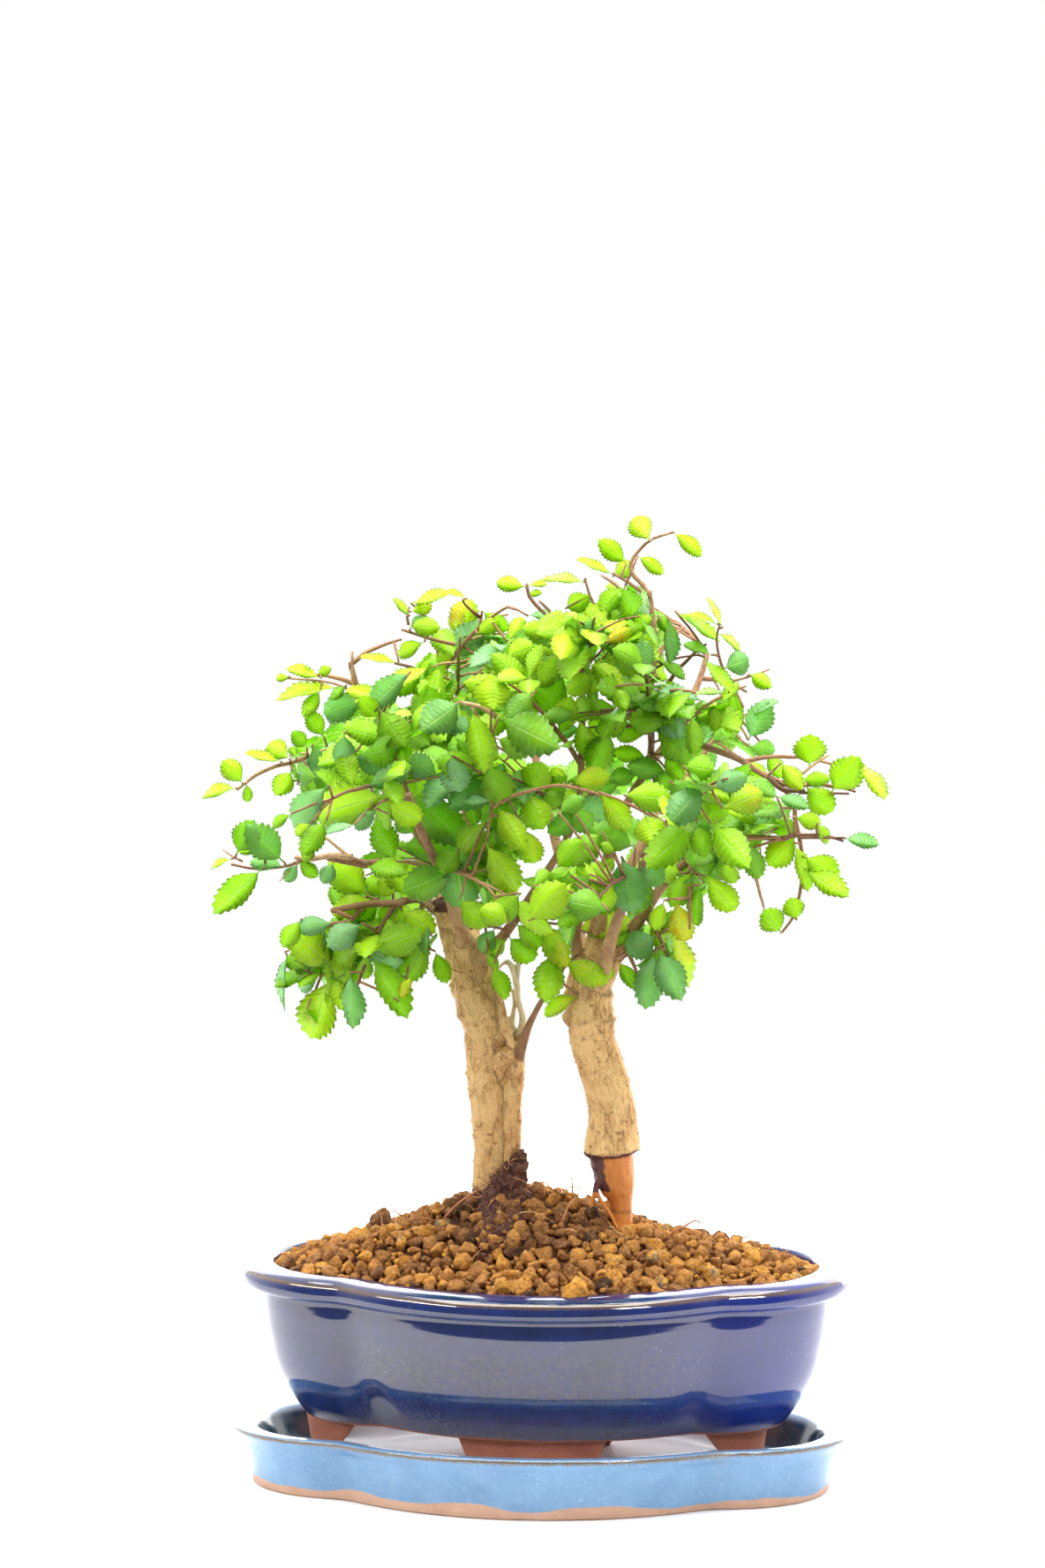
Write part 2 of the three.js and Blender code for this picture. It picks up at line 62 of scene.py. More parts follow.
print("CAD nodes:", len(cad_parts), "box:", cad_box)

# Without a seed, vector noise starts from the clock, and no two runs would be alike.
noise.seed_set(5)

# %% [markdown]
# ## Camera
#
# The photograph was taken from far off with a long lens, a little above the pot and a little to the right.
# A camera is placed by the point that it looks at, its distance and its two angles, which is how a
# photographer would describe it.

# %% Camera
MM = 0.001
LOOK_AT = Vector((-5.9, 0, 237.3)) * MM
DISTANCE = 2068 * MM
TURN = math.radians(7)
RISE = math.radians(5.7)
LENS = 141.9
NEAREST = 0.1

toward_camera = Vector((
    math.sin(TURN) * math.cos(RISE),
    -math.cos(TURN) * math.cos(RISE),
    math.sin(RISE),
))
camera_data = bpy.data.cameras.new("camera")
camera_data.lens = LENS
camera_data.clip_start = NEAREST
camera = bpy.data.objects.new("camera", camera_data)
bpy.context.collection.objects.link(camera)
camera.location = LOOK_AT + toward_camera * DISTANCE
camera.rotation_euler = toward_camera.to_track_quat("Z", "Y").to_euler()
bpy.context.scene.camera = camera
print("camera at", camera.location)

# %% [markdown]
# ## Building blocks
#
# Every piece is drawn in millimetres and shrunk to metres when it is finished, so that the numbers stay easy
# to read. A finished piece rides on the one body of this part, takes the place of its CAD node and names the
# material slot that it belongs to.

# %% Finish a piece
def finish_piece(bm, name, materials, replaces=()):
    bmesh.ops.transform(bm, matrix=Matrix.Scale(MM, 4), verts=bm.verts)
    mesh = kept_mesh(bm, name)
    for material in materials:
        mesh.materials.append(material)
    mesh.polygons.foreach_set("use_smooth", [True] * len(mesh.polygons))
    piece = bpy.data.objects.new(name, mesh)
    bpy.context.collection.objects.link(piece)
    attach(piece, "root")
    if replaces:
        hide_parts(*replaces)
    return piece


def outwards(bm):
    """Merges doubled points and turns every face outwards."""
    bmesh.ops.remove_doubles(bm, verts=bm.verts, dist=0.001)
    bmesh.ops.recalc_face_normals(bm, faces=bm.faces)
    return bm

# %% Small helpers
def clipped(value):
    """The value, or the nearer of 0 and 1 if it lies beyond them."""
    return min(1, max(0, value))


def soft_curve(p0, p1, p2, p3, t):
    """A point at t from 0 to 1 between p1 and p2, on a curve that heeds their neighbours too."""
    return 0.5 * (
        2 * p1 + (p2 - p0) * t + (2 * p0 - 5 * p1 + 4 * p2 - p3) * t**2 + (3 * p1 - p0 - 3 * p2 + p3) * t**3
    )


def scattered(draw, spread):
    """A vector whose three parts are drawn at random about 0."""
    return Vector([draw.gauss(0, spread) for _ in range(3)])


def kept_mesh(bm, name):
    """The bmesh as a mesh. The bmesh itself is freed."""
    mesh = bpy.data.meshes.new(name)
    bm.to_mesh(mesh)
    bm.free()
    return mesh

# %% [markdown]
# A material here is a small tree of nodes. These helpers add one node in one line, so that a finish reads as
# a recipe: a pattern, then where it shows, then what it changes.

# %% Node helpers
def plug(tree, value, socket):
    """Links an output to the socket, or sets the socket to a plain value."""
    if isinstance(value, bpy.types.NodeSocket):
        tree.links.new(value, socket)
    else:
        socket.default_value = value


def feed(tree, node, **inputs):
    """Plugs each value into the input of its name, where _ stands for a blank."""
    for key, value in inputs.items():
        plug(tree, value, node.inputs[key.replace("_", " ")])
    return node


def add(tree, kind, settings=None, **inputs):
    node = tree.nodes.new("ShaderNode" + kind)
    for key, value in (settings or {}).items():
        setattr(node, key, value)
    return feed(tree, node, **inputs)


def new_finish(name, **constants):
    material = bpy.data.materials.new(name)
    material.use_nodes = True
    tree = material.node_tree
    return material, tree, feed(tree, tree.nodes["Principled BSDF"], **constants)


def place(tree):
    return add(tree, "TexCoord").outputs["Object"]


def axes_of(tree, vector):
    return add(tree, "SeparateXYZ", Vector=vector).outputs


def grain_of(tree, where, scale, detail=4, roughness=0.6):
    node = add(tree, "TexNoise", Vector=where, Scale=scale, Detail=detail, Roughness=roughness)
    return node.outputs["Fac"]


def spots_of(tree, where, scale):
    """The distance from the nearest of many points strewn at random."""
    return add(tree, "TexVoronoi", Vector=where, Scale=scale).outputs["Distance"]


def between(tree, value, low, high, to_low=0, to_high=1):
    """Where the value stands between low and high, told as a number from to_low to to_high."""
    node = add(tree, "MapRange")
    for i, given in enumerate((value, low, high, to_low, to_high)):
        plug(tree, given, node.inputs[i])
    return node.outputs[0]


def sums(tree, operation, a, b=0):
    """One sum of a and b, or of a alone, such as its size without its sign."""
    node = add(tree, "Math", {"operation": operation})
    plug(tree, a, node.inputs[0])
    plug(tree, b, node.inputs[1])
    return node.outputs[0]


def plus(tree, a, b):
    return sums(tree, "ADD", a, b)


def times(tree, a, b):
    return sums(tree, "MULTIPLY", a, b)


def mixed(tree, share, a, b):
    """Colour a where the share is 0 and colour b where it is 1, which the node takes in sockets 6 and 7."""
    node = add(tree, "Mix", {"data_type": "RGBA"})
    plug(tree, share, node.inputs[0])
    plug(tree, a, node.inputs[6])
    plug(tree, b, node.inputs[7])
    return node.outputs[2]


def blend(tree, share, a, b):
    """One shader where the share is 0 and the other where it is 1."""
    node = add(tree, "MixShader")
    for i, given in enumerate((share, a.outputs[0], b.outputs[0])):
        plug(tree, given, node.inputs[i])
    return node.outputs[0]


def bumps(tree, height, distance, strength=1):
    return add(tree, "Bump", Height=height, Distance=distance, Strength=strength).outputs[0]


def attribute(tree, name):
    return add(tree, "Attribute", {"attribute_name": name}).outputs["Fac"]


def height_of(tree):
    return axes_of(tree, place(tree))["Z"]


def rgb(red, green, blue):
    return (red, green, blue, 1)

# %% [markdown]
# ## The lobed plan
#
# Pot and saucer share one outline: four bowed sides that meet in soft notches. Each is thrown like any round
# pot, by spinning its profile, and then every point is moved out or in to the lobed outline. The moving is
# one rule for both, so pot and saucer match as they do on the table.

# %% The lobed outline
NOTCH_X, NOTCH_Y = 65.4, 41.6
NOTCH_INSET_X, NOTCH_INSET_Y = 0.6, 0.8
CORE = 0.74
SPIN_STEPS = 240
SOFTNESS = 1.5


def bow(half_chord, rise, u):
    """A point at u from 0 to 1 along an arc over a chord: how far along, and how far out."""
    radius = (half_chord**2 + rise**2) / (2 * rise)
    angle = math.atan2(half_chord, radius - rise) * (2 * u - 1)
    return radius * math.sin(angle), radius * math.cos(angle) - radius + rise


def sharp_outline(turn, half_width, half_depth, inset):
    """The point of the four bowed sides at this turn, from 0 to 1."""
    side, u = divmod(turn * 4, 1)
    nx = NOTCH_X - NOTCH_INSET_X * inset
    ny = NOTCH_Y - NOTCH_INSET_Y * inset
    if side % 2 == 0:
        along, out = bow(ny, half_width - inset - nx, u)
        point = Vector((nx + out, along))
    else:
        along, out = bow(nx, half_depth - inset - ny, u)
        point = Vector((-along, ny + out))
    return point if side < 2 else -point


def outline(turn, half_width, half_depth, inset):
    """The same outline with its notches softened, as a mean of five neighbours."""
    around = [(turn + k * SOFTNESS / SPIN_STEPS) % 1 for k in (-2, -1, 0, 1, 2)]
    points = [sharp_outline(t, half_width, half_depth, inset) for t in around]
    return (points[0] + 2 * points[1] + 3 * points[2] + 2 * points[3] + points[4]) / 9


def smooth_line(points, steps):
    """A soft curve through the points, for profiles."""
    line = []
    for i in range(len(points) - 1):
        around = [Vector(points[min(max(i + k, 0), len(points) - 1)]) for k in (-1, 0, 1, 2)]
        line += [soft_curve(*around, step / steps) for step in range(steps)]
    return line + [Vector(points[-1])]


def spun(profile, closed=False):
    """Spins a profile of (distance from the axis, height) points all the way round."""
    bm = bmesh.new()
    verts = [bm.verts.new((p[0], 0, p[1])) for p in profile]
    pairs = list(zip(verts, verts[1:])) + ([(verts[-1], verts[0])] if closed else [])
    edges = [bm.edges.new(pair) for pair in pairs]
    bmesh.ops.spin(bm, geom=verts + edges, cent=(0, 0, 0), axis=(0, 0, 1), dvec=(0, 0, 0),
                   angle=2 * math.pi, steps=SPIN_STEPS, use_merge=True)
    return outwards(bm)


def make_lobed(bm, width, depth, middle_x):
    """Moves every point of a round body to the lobed outline. Inside the core they only move in step."""
    core = CORE * width / 2
    for v in bm.verts:
        r = math.hypot(v.co.x, v.co.y)
        turn = (math.atan2(v.co.y, v.co.x) / (2 * math.pi)) % 1
        point = outline(turn, width / 2, depth / 2, width / 2 - max(r, core)) * min(1, r / core)
        v.co.x, v.co.y = point.x + middle_x, point.y
    return bm

# %% [markdown]
# ## Glaze and bare clay
#
# A stoneware glaze is a thin coat of glass. It is darkest where it lies thick and turns brown where it runs
# thin over an edge, so the mesh carries an attribute that says where the edges are. Fine crystals in the
# glass make it cloudy, and dust leaves a few pale specks. The potter wipes the glaze off the base, so below
# a wavy line there is bare clay.

# %% Bare clay, as a part of a finish
def clay_colour(tree, where, dark, light):
    """The colour of the clay, and its grit for the surface."""
    cloudy = grain_of(tree, where, 60, 5)
    gritty = grain_of(tree, where, 900, 2)
    base = mixed(tree, between(tree, cloudy, 0.3, 0.7), dark, light)
    return mixed(tree, between(tree, gritty, 0.55, 0.75, 0, 0.5), base, dark), gritty


def wavy_height(tree, where, wobble):
    """The height over the table, put up and down a little by slow noise."""
    waves = grain_of(tree, where, 28, 2, 0.4)
    return plus(tree, height_of(tree), between(tree, waves, 0.3, 0.7, -wobble, wobble))


def thin_at_edges(tree, where, glazed, wobble, brown):
    """The glaze, brown where the mesh says that it lies thin."""
    waves = between(tree, grain_of(tree, where, 1500, 3), 0.3, 0.7, -wobble, wobble)
    thin = between(tree, plus(tree, attribute(tree, "thin_glaze"), waves), 0.3, 0.8)
    return mixed(tree, thin, glazed, brown)


def clay_under_glaze(tree, shader, where, bare, glazed, gloss, clay, grit):
    """Glaze where bare is 0 and clay where it is 1, with slow ripples in both."""
    ripples = plus(tree, grain_of(tree, where, 45, 2, 0.4), times(tree, grit, bare))
    feed(tree, shader, Base_Color=mixed(tree, bare, glazed, clay),
         Roughness=between(tree, bare, 0, 1, gloss, 0.8), Normal=bumps(tree, ripples, 0.0003, 0.5))

# %% The pot's cobalt glaze
def pot_finish():
    material, tree, shader = new_finish("cobalt_glaze_and_clay", IOR=1.8, Specular_Tint=rgb(1, 0.93, 0.8))
    where = place(tree)
    clouds = grain_of(tree, where, 55, 5, 0.7)
    crystals = grain_of(tree, where, 480, 5, 0.75)
    blue = mixed(tree, between(tree, clouds, 0.3, 0.7), rgb(0.002, 0.009, 0.06), rgb(0.004, 0.022, 0.13))
    # Painted reflection of the white table: below the lip the crystals turn grey in a band across the body.
    over_low_edge = between(tree, wavy_height(tree, where, 0.002), 0.034, 0.042)
    painted_table_reflection = times(tree, over_low_edge, between(tree, height_of(tree), 0.0555, 0.052))
    # Painted reflection too: towards the right end the blue is painted deeper, where less of the table shows.
    sideways = axes_of(tree, where)["X"]
    blue = mixed(tree, between(tree, sideways, 0.03, 0.08, 0, 0.8), blue, rgb(0.004, 0.016, 0.20))
    painted_table_reflection = times(tree, painted_table_reflection, between(tree, sums(tree, "ABSOLUTE", sideways), 0.066, 0.046))
    blue = mixed(tree, between(tree, crystals, 0.42, 0.7, 0, 0.55), blue,
                 mixed(tree, painted_table_reflection, rgb(0.006, 0.024, 0.12), rgb(0.080, 0.070, 0.062)))
    glazed = thin_at_edges(tree, where, blue, 0.2, rgb(0.10, 0.06, 0.045))
    dust = spots_of(tree, where, 330)
    patchy = between(tree, grain_of(tree, where, 38, 3), 0.5, 0.75)
    specks = times(tree, between(tree, dust, 0.2, 0.1), patchy)
    glazed = mixed(tree, times(tree, specks, 0.22), glazed, rgb(0.40, 0.45, 0.58))
    clay, grit = clay_colour(tree, where, rgb(0.30, 0.085, 0.045), rgb(0.46, 0.15, 0.085))
    bare = between(tree, wavy_height(tree, where, 0.0005), 0.0240, 0.0234)
    gloss = between(tree, crystals, 0.3, 0.8, 0.05, 0.13)
    clay_under_glaze(tree, shader, where, bare, glazed, gloss, clay, grit)
    return material

# %% The saucer's sky-blue glaze
def saucer_finish():
    material, tree, shader = new_finish("sky_glaze_and_clay", IOR=1.75)
    where = place(tree)
    clouds = grain_of(tree, where, 40, 5, 0.65)
    crystals = grain_of(tree, where, 520, 4, 0.7)
    sky = mixed(tree, between(tree, clouds, 0.3, 0.7), rgb(0.09, 0.22, 0.40), rgb(0.16, 0.33, 0.54))
    sky = mixed(tree, between(tree, crystals, 0.5, 0.8, 0, 0.4), sky, rgb(0.28, 0.43, 0.62))
    # Painted shade: the inner wall at both ends is dark teal for the shade and dark reflection of the pot
    # above it.
    wall_shade_colour = mixed(tree, clouds, rgb(0.012, 0.035, 0.05), rgb(0.03, 0.07, 0.11))
    sideways = sums(tree, "ABSOLUTE", axes_of(tree, where)["X"])
    wall_shade_mask = times(tree, attribute(tree, "painted_inner_wall_shade"), between(tree, sideways, 0.058, 0.074))
    # Painted reflection: the inner floor is painted near white for the bright backdrop seen in the glaze.
    glazed = mixed(tree, attribute(tree, "painted_floor_reflection"), sky, rgb(0.93, 0.97, 1.0))
    glazed = mixed(tree, wall_shade_mask, glazed, wall_shade_colour)
    glazed = thin_at_edges(tree, where, glazed, 0.3, rgb(0.13, 0.10, 0.07))
    stain = between(tree, grain_of(tree, where, 22, 4), 0.66, 0.74, 0, 0.55)
    glazed = mixed(tree, stain, glazed, rgb(0.26, 0.24, 0.2))
    dust = spots_of(tree, where, 420)
    patchy = between(tree, grain_of(tree, where, 44, 3), 0.5, 0.7)
    specks = times(tree, between(tree, dust, 0.17, 0.08), patchy)
    glazed = mixed(tree, times(tree, specks, 0.45), glazed, rgb(0.62, 0.72, 0.85))
    clay, grit = clay_colour(tree, where, rgb(0.50, 0.28, 0.18), rgb(0.66, 0.40, 0.27))
    bare = between(tree, wavy_height(tree, where, 0.0022), 0.0036, 0.0033)
    gloss = between(tree, crystals, 0.3, 0.8, 0.05, 0.2)
    clay_under_glaze(tree, shader, where, bare, glazed, gloss, clay, grit)
    return material

# %% [markdown]
# ## Saucer
#
# The saucer is a shallow tray with a flared lip. Its profile runs from the middle of the underside, out and
# up the wall, over the rim and back to the middle of the floor, so spinning it gives a closed body.

# %% Saucer
SAUCER_WIDTH, SAUCER_DEPTH = 210.4, 135
SAUCER_TILT = 0.07
CURVE_STEPS = 5
SAUCER_CURVE = [
    (90, 0.02), (97, 0.1), (98, 1.2), (98.6, 5), (100, 10.5), (101.9, 15), (104, 17.4), (105.2, 18.9),
    (104.6, 20.1), (102.4, 20.2), (98.6, 19.9), (96.6, 19), (95.2, 16), (93.2, 11), (91.2, 8), (88, 6.6),
    (82, 6.1), (60, 6),
]
saucer_profile = [Vector((0, 0)), Vector((60, 0))] + smooth_line(SAUCER_CURVE, CURVE_STEPS) + [Vector((0, 6))]


def mark(bm, name, rule):
    """Writes rule(distance from the axis, height) into a vertex attribute, before the lobes are made."""
    layer = bm.verts.layers.float.new(name)
    for v in bm.verts:
        v[layer] = rule(math.hypot(v.co.x, v.co.y), v.co.z)


def near(r, z, at, reach):
    """1 at a point of the profile, falling to 0 at this reach from it."""
    return max(0, 1 - math.dist((r, z), at) / reach)


def warp(bm, rule):
    """Lifts each point by rule(x, y, height): a fired pot is never quite level."""
    for v in bm.verts:
        v.co.z += rule(v.co.x, v.co.y, v.co.z)


saucer_bm = spun(saucer_profile)
mark(saucer_bm, "thin_glaze", lambda r, z: near(r, z, (105.3, 19.3), 1.6))
# Where the painted shade of the inner wall lies.
mark(saucer_bm, "painted_inner_wall_shade", lambda r, z: clipped((19.2 - z) / 2) * (r < 97.5) * clipped((r - 88.5) / 3))
# Where the inner floor gets its painted reflection of the backdrop.
mark(saucer_bm, "painted_floor_reflection", lambda r, z: clipped((98 - r) / 4) * (z > 3))
make_lobed(saucer_bm, SAUCER_WIDTH, SAUCER_DEPTH, 0)
warp(saucer_bm, lambda x, y, z: max(-z, SAUCER_TILT * z * (y / 67) ** 2))
saucer = finish_piece(saucer_bm, "saucer_glazed", [saucer_finish()], ["saucer"])
print("saucer faces:", len(saucer.data.polygons))

# %% [markdown]
# ## Pot
#
# The pot is thrown in the same way, with a rolled lip that stands out over the wall. Its four feet are cut
# from one ring of clay that follows the pot's outline, by slanting planes, so they taper towards the ground.

# %% Pot
POT_X = 1.8
POT_WIDTH, POT_DEPTH = 206, 132
FOOT_TOP = 24.5
FOOT_BOTTOM = 6.2
POT_TILT = 0.03
POT_CURVE = [
    (72, 22.5), (79.4, 22.6), (81.8, 24), (86.2, 30), (91.6, 40), (94.2, 50.5), (95, 55), (95.5, 59),
    (95.75, 61.5), (95.8, 64), (95.85, 66.2), (96.5, 67.6), (98.4, 68), (101.2, 68.2), (103.1, 70),
    (103.2, 72.6), (101.8, 74.8), (98.6, 76), (94.4, 76.2), (92.4, 75.4), (91.8, 72.4), (91, 66), (87.4, 52),
    (82, 38), (77, 31.4), (68, 30), (50, 30),
]
pot_underside = [Vector((0, 22.5)), Vector((60, 22.5))]
pot_profile = pot_underside + smooth_line(POT_CURVE, CURVE_STEPS) + [Vector((0, 30))]

pot_bm = spun(pot_profile)
mark(pot_bm, "thin_glaze", lambda r, z: near(r, z, (102.3, 73.9), 1.7))
make_lobed(pot_bm, POT_WIDTH, POT_DEPTH, POT_X)
warp(pot_bm, lambda x, y, z: POT_TILT * y * clipped((z - 26) / 45))

# %% Feet
MIDDLE_FOOT, MIDDLE_TAPER = 25.5, 7
END_FOOT, END_TAPER = 58, 13
LEFT_SHIFT, RIGHT_SHIFT = -2.4, -3.2
FOOT_ROUNDING = 0.9

foot_profile = [(70.5, FOOT_BOTTOM), (76.2, FOOT_BOTTOM), (79.2, FOOT_TOP), (67.5, FOOT_TOP)]


def slant(x, taper, outward):
    """A cutting plane through x at the top of a foot, which leans in by taper at its bottom."""
    lean = math.atan2(taper, FOOT_TOP - FOOT_BOTTOM)
    normal = Vector((outward * math.cos(lean), 0, -math.sin(lean)))
    return Vector((POT_X + x, 0, FOOT_TOP)), normal


def foot(*cuts):
    """What the cutting planes leave of the ring of clay, with softened edges."""
    bm = make_lobed(spun([Vector(p) for p in foot_profile], closed=True), POT_WIDTH, POT_DEPTH, POT_X)
    for point, normal in cuts:
        everything = bm.verts[:] + bm.edges[:] + bm.faces[:]
        cut = bmesh.ops.bisect_plane(bm, geom=everything, plane_co=point, plane_no=normal, clear_outer=True)
        edges = [e for e in cut["geom_cut"] if isinstance(e, bmesh.types.BMEdge)]
        bmesh.ops.edgeloop_fill(bm, edges=edges)
    sharp = [e for e in bm.edges if len(e.link_faces) == 2 and e.calc_face_angle() > 0.8]
    bmesh.ops.bevel(bm, geom=sharp, offset=FOOT_ROUNDING, affect="EDGES", segments=3, profile=0.5,
                    material=-1)
    return outwards(bm)


front = (Vector((0, 0, 0)), Vector((0, 1, 0)))
back = (Vector((0, 0, 0)), Vector((0, -1, 0)))
middle_slants = slant(MIDDLE_FOOT, MIDDLE_TAPER, 1), slant(-MIDDLE_FOOT, MIDDLE_TAPER, -1)
feet = [
    foot(*middle_slants, front),
    foot(*middle_slants, back),
    foot(slant(END_FOOT, END_TAPER, -1)),
    foot(slant(-END_FOOT, END_TAPER, 1)),
]
bmesh.ops.translate(feet[2], vec=(RIGHT_SHIFT, 0, 0), verts=feet[2].verts)
bmesh.ops.translate(feet[3], vec=(LEFT_SHIFT, 0, 0), verts=feet[3].verts)
for foot_bm in feet:
    foot_mesh = kept_mesh(foot_bm, "foot")
    pot_bm.from_mesh(foot_mesh)
    bpy.data.meshes.remove(foot_mesh)
pot = finish_piece(pot_bm, "pot_glazed", [pot_finish()], ["pot"])
print("pot faces:", len(pot.data.polygons))

# %% [markdown]
# ## Drain screens
#
# Each drain hole is covered by a bit of plastic mesh, which nobody sees once the soil is in. The CAD plates
# are right as they are, so they stay and only get their finish: dark plastic with a square weave.

# %% Drain screens
def screen_finish():
    material, tree, shader = new_finish("screen_plastic", IOR=1.46, Roughness=0.55)
    where = place(tree)
    threads = [sums(tree, "PINGPONG", axis, 0.00075) for axis in axes_of(tree, where)[:2]]
    weave = sums(tree, "MINIMUM", *threads)
    dusty = grain_of(tree, where, 400)
    plastic = mixed(tree, between(tree, dusty, 0.45, 0.7), rgb(0.018, 0.02, 0.022), rgb(0.09, 0.075, 0.055))
    woven = mixed(tree, between(tree, weave, 0.0001, 0.0003), rgb(0.004, 0.004, 0.004), plastic)
    feed(tree, shader, Base_Color=woven, Normal=bumps(tree, weave, 0.4))
    return material


screen_plastic = screen_finish()
for side in ("left", "right"):
    screen_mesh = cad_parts["drain_screen_" + side].data
    screen_mesh.materials.clear()
    screen_mesh.materials.append(screen_plastic)
print("drain screens finished")

# %% [markdown]
# ## Soil
#
# Bonsai soil is a heap of baked clay granules, mostly 2 to 8 mm across, that crumble into lumpy shapes with
# round corners. Underneath is one body that fills the pot and follows the mound, with a dark tone that is
# painted shade, the shade deep between the granules. The granules lie over it in two layers: small ones sunk
# between, bigger ones on top. Only ten different granules are modelled.
# Each is a cube whose points are pushed to a sphere, pressed against a few flat planes and made lumpy, and it
# is turned, stretched and toned anew every time it is laid.

# %% Height of the soil
SOIL_RIM = 91
SOIL_EDGE = 74.6
SOIL_DOME = 13
HEAP_RISE = 13.5
HEAP_X, HEAP_Y = -8, 4
HEAP_SPREAD_X, HEAP_SPREAD_Y = 24, 22


def soil_top(x, y, share):
    """The height of the soil here, where share is 0 in the middle of the pot and 1 at its wall."""
    dome = SOIL_EDGE + SOIL_DOME * (1 - share**3)
    dx, dy = (x - HEAP_X) / HEAP_SPREAD_X, (y - HEAP_Y) / HEAP_SPREAD_Y
    return dome + HEAP_RISE * (1 - share**4) * math.exp(-(dx * dx + dy * dy) / 2)


def on_soil(turn, share):
    """The point of the soil's surface at this turn round the pot and this share of the way out."""
    r, core = share * SOIL_RIM, CORE * POT_WIDTH / 2
    inset = POT_WIDTH / 2 - max(r, core)
    x, y = outline(turn, POT_WIDTH / 2, POT_DEPTH / 2, inset) * min(1, r / core)
    return Vector((x + POT_X, y, soil_top(x + POT_X, y, share)))

# %% Colour helpers
def ramp(tree, value, stops):
    """A colour for each value from 0 to 1, from (place, colour) stops."""
    node = add(tree, "ValToRGB", Fac=value)
    elements = node.color_ramp.elements
    while len(elements) < len(stops):
        elements.new(0.5)
    for element, (at, colour) in zip(elements, stops):
        element.position, element.color = at, colour
    return node.outputs["Color"]


def soil_finish():
    material, tree, shader = new_finish("baked_clay_granules", IOR=1.4, Roughness=0.9)
    where = place(tree)
    rough = grain_of(tree, where, 900, 6, 0.75)
    blotch = grain_of(tree, where, 260, 4)
    tone = plus(tree, attribute(tree, "tone"), between(tree, blotch, 0.3, 0.7, -0.2, 0.12))
    colour = ramp(tree, tone, [
        (0.00, rgb(0.055, 0.024, 0.014)),
        (0.12, rgb(0.220, 0.085, 0.032)),
        (0.35, rgb(0.500, 0.215, 0.060)),
        (0.60, rgb(0.780, 0.350, 0.080)),
        (0.80, rgb(0.960, 0.430, 0.055)),
        (0.90, rgb(0.720, 0.430, 0.160)),
        (0.97, rgb(0.370, 0.280, 0.200)),
        (1.00, rgb(0.150, 0.165, 0.170)),
    ])
    crumbs = grain_of(tree, where, 420, 5, 0.7)
    colour = mixed(tree, between(tree, rough, 0.52, 0.36, 0, 0.65), colour, rgb(0.12, 0.044, 0.014))
    colour = mixed(tree, between(tree, rough, 0.55, 0.68, 0, 0.6), colour, rgb(1.0, 0.62, 0.20))
    height = plus(tree, times(tree, rough, 0.5), crumbs)
    feed(tree, shader, Base_Color=colour, Normal=bumps(tree, height, 0.0024))
    return material


granule_clay = soil_finish()

# %% The body of the soil
SOIL_RINGS = 22
UNDER_GRANULES = 3.4

soil_profile = [Vector((0, 31)), Vector((72, 31.8)), Vector((84, 50)), Vector((90, 69))] + [
    Vector((SOIL_RIM * (1 - step / SOIL_RINGS), SOIL_EDGE)) for step in range(SOIL_RINGS)
] + [Vector((0, SOIL_EDGE))]
soil_bm = spun(soil_profile)
shares = [math.hypot(v.co.x, v.co.y) / SOIL_RIM for v in soil_bm.verts]
make_lobed(soil_bm, POT_WIDTH, POT_DEPTH, POT_X)
for v, share in zip(soil_bm.verts, shares):
    if v.co.z > SOIL_EDGE - 0.5:
        v.co.z = soil_top(v.co.x, v.co.y, share) - UNDER_GRANULES + 1.2 * noise.noise(v.co * 0.35)
# Painted shade: the body's dark tone stands for the shade deep between the granules.
tone = soil_bm.verts.layers.float.new("tone")
for v in soil_bm.verts:
    v[tone] = 0.1 + 0.08 * noise.noise(v.co * 0.2)
soil_body = finish_piece(soil_bm, "soil_body", [granule_clay], ["soil"])
print("soil body faces:", len(soil_body.data.polygons))

# %% Ten granules
def granule(number, cuts):
    """One granule of radius 1. More cuts make it finer."""
    bm = bmesh.new()
    bmesh.ops.create_cube(bm, size=2)
    bmesh.ops.subdivide_edges(bm, edges=bm.edges[:], cuts=cuts, use_grid_fill=True)
    draw = random.Random(100 + number)
    flats = [(scattered(draw, 1).normalized(), draw.uniform(0.48, 0.8)) for _ in range(11)]
    for v in bm.verts:
        v.co.normalize()
        for way, reach in flats:
            v.co -= way * max(0, v.co.dot(way) - reach) * 0.95
        here = v.co + Vector((number * 7.3, 0, 0))
        v.co *= 1 + 0.34 * noise.noise(here * 1.3) + 0.3 * noise.noise(here * 3.1)
    bm.verts.layers.float.new("tone")
    return kept_mesh(bm, f"granule_{number}")


small_granules = [granule(number, 2) for number in range(6)]
large_granules = [granule(number, 3) for number in range(6, 10)]
print("granule faces:", len(small_granules[0].polygons), len(large_granules[0].polygons))

# %% Laying the granules
def turned(draw):
    return Matrix.Rotation(draw.uniform(0, 2 * math.pi), 4, scattered(draw, 1))


def copy_into(bm, mesh, matrix, tone):
    """Adds a copy of the mesh, moved by the matrix, with this tone."""
    first = len(bm.verts)
    bm.from_mesh(mesh)
    bm.verts.ensure_lookup_table()
    layer = bm.verts.layers.float["tone"]
    for v in bm.verts[first:]:
        v.co = matrix @ v.co
        v[layer] = tone


STEMS = [(-15, 3, 10), (27, -6, 5)]
CELL = 10


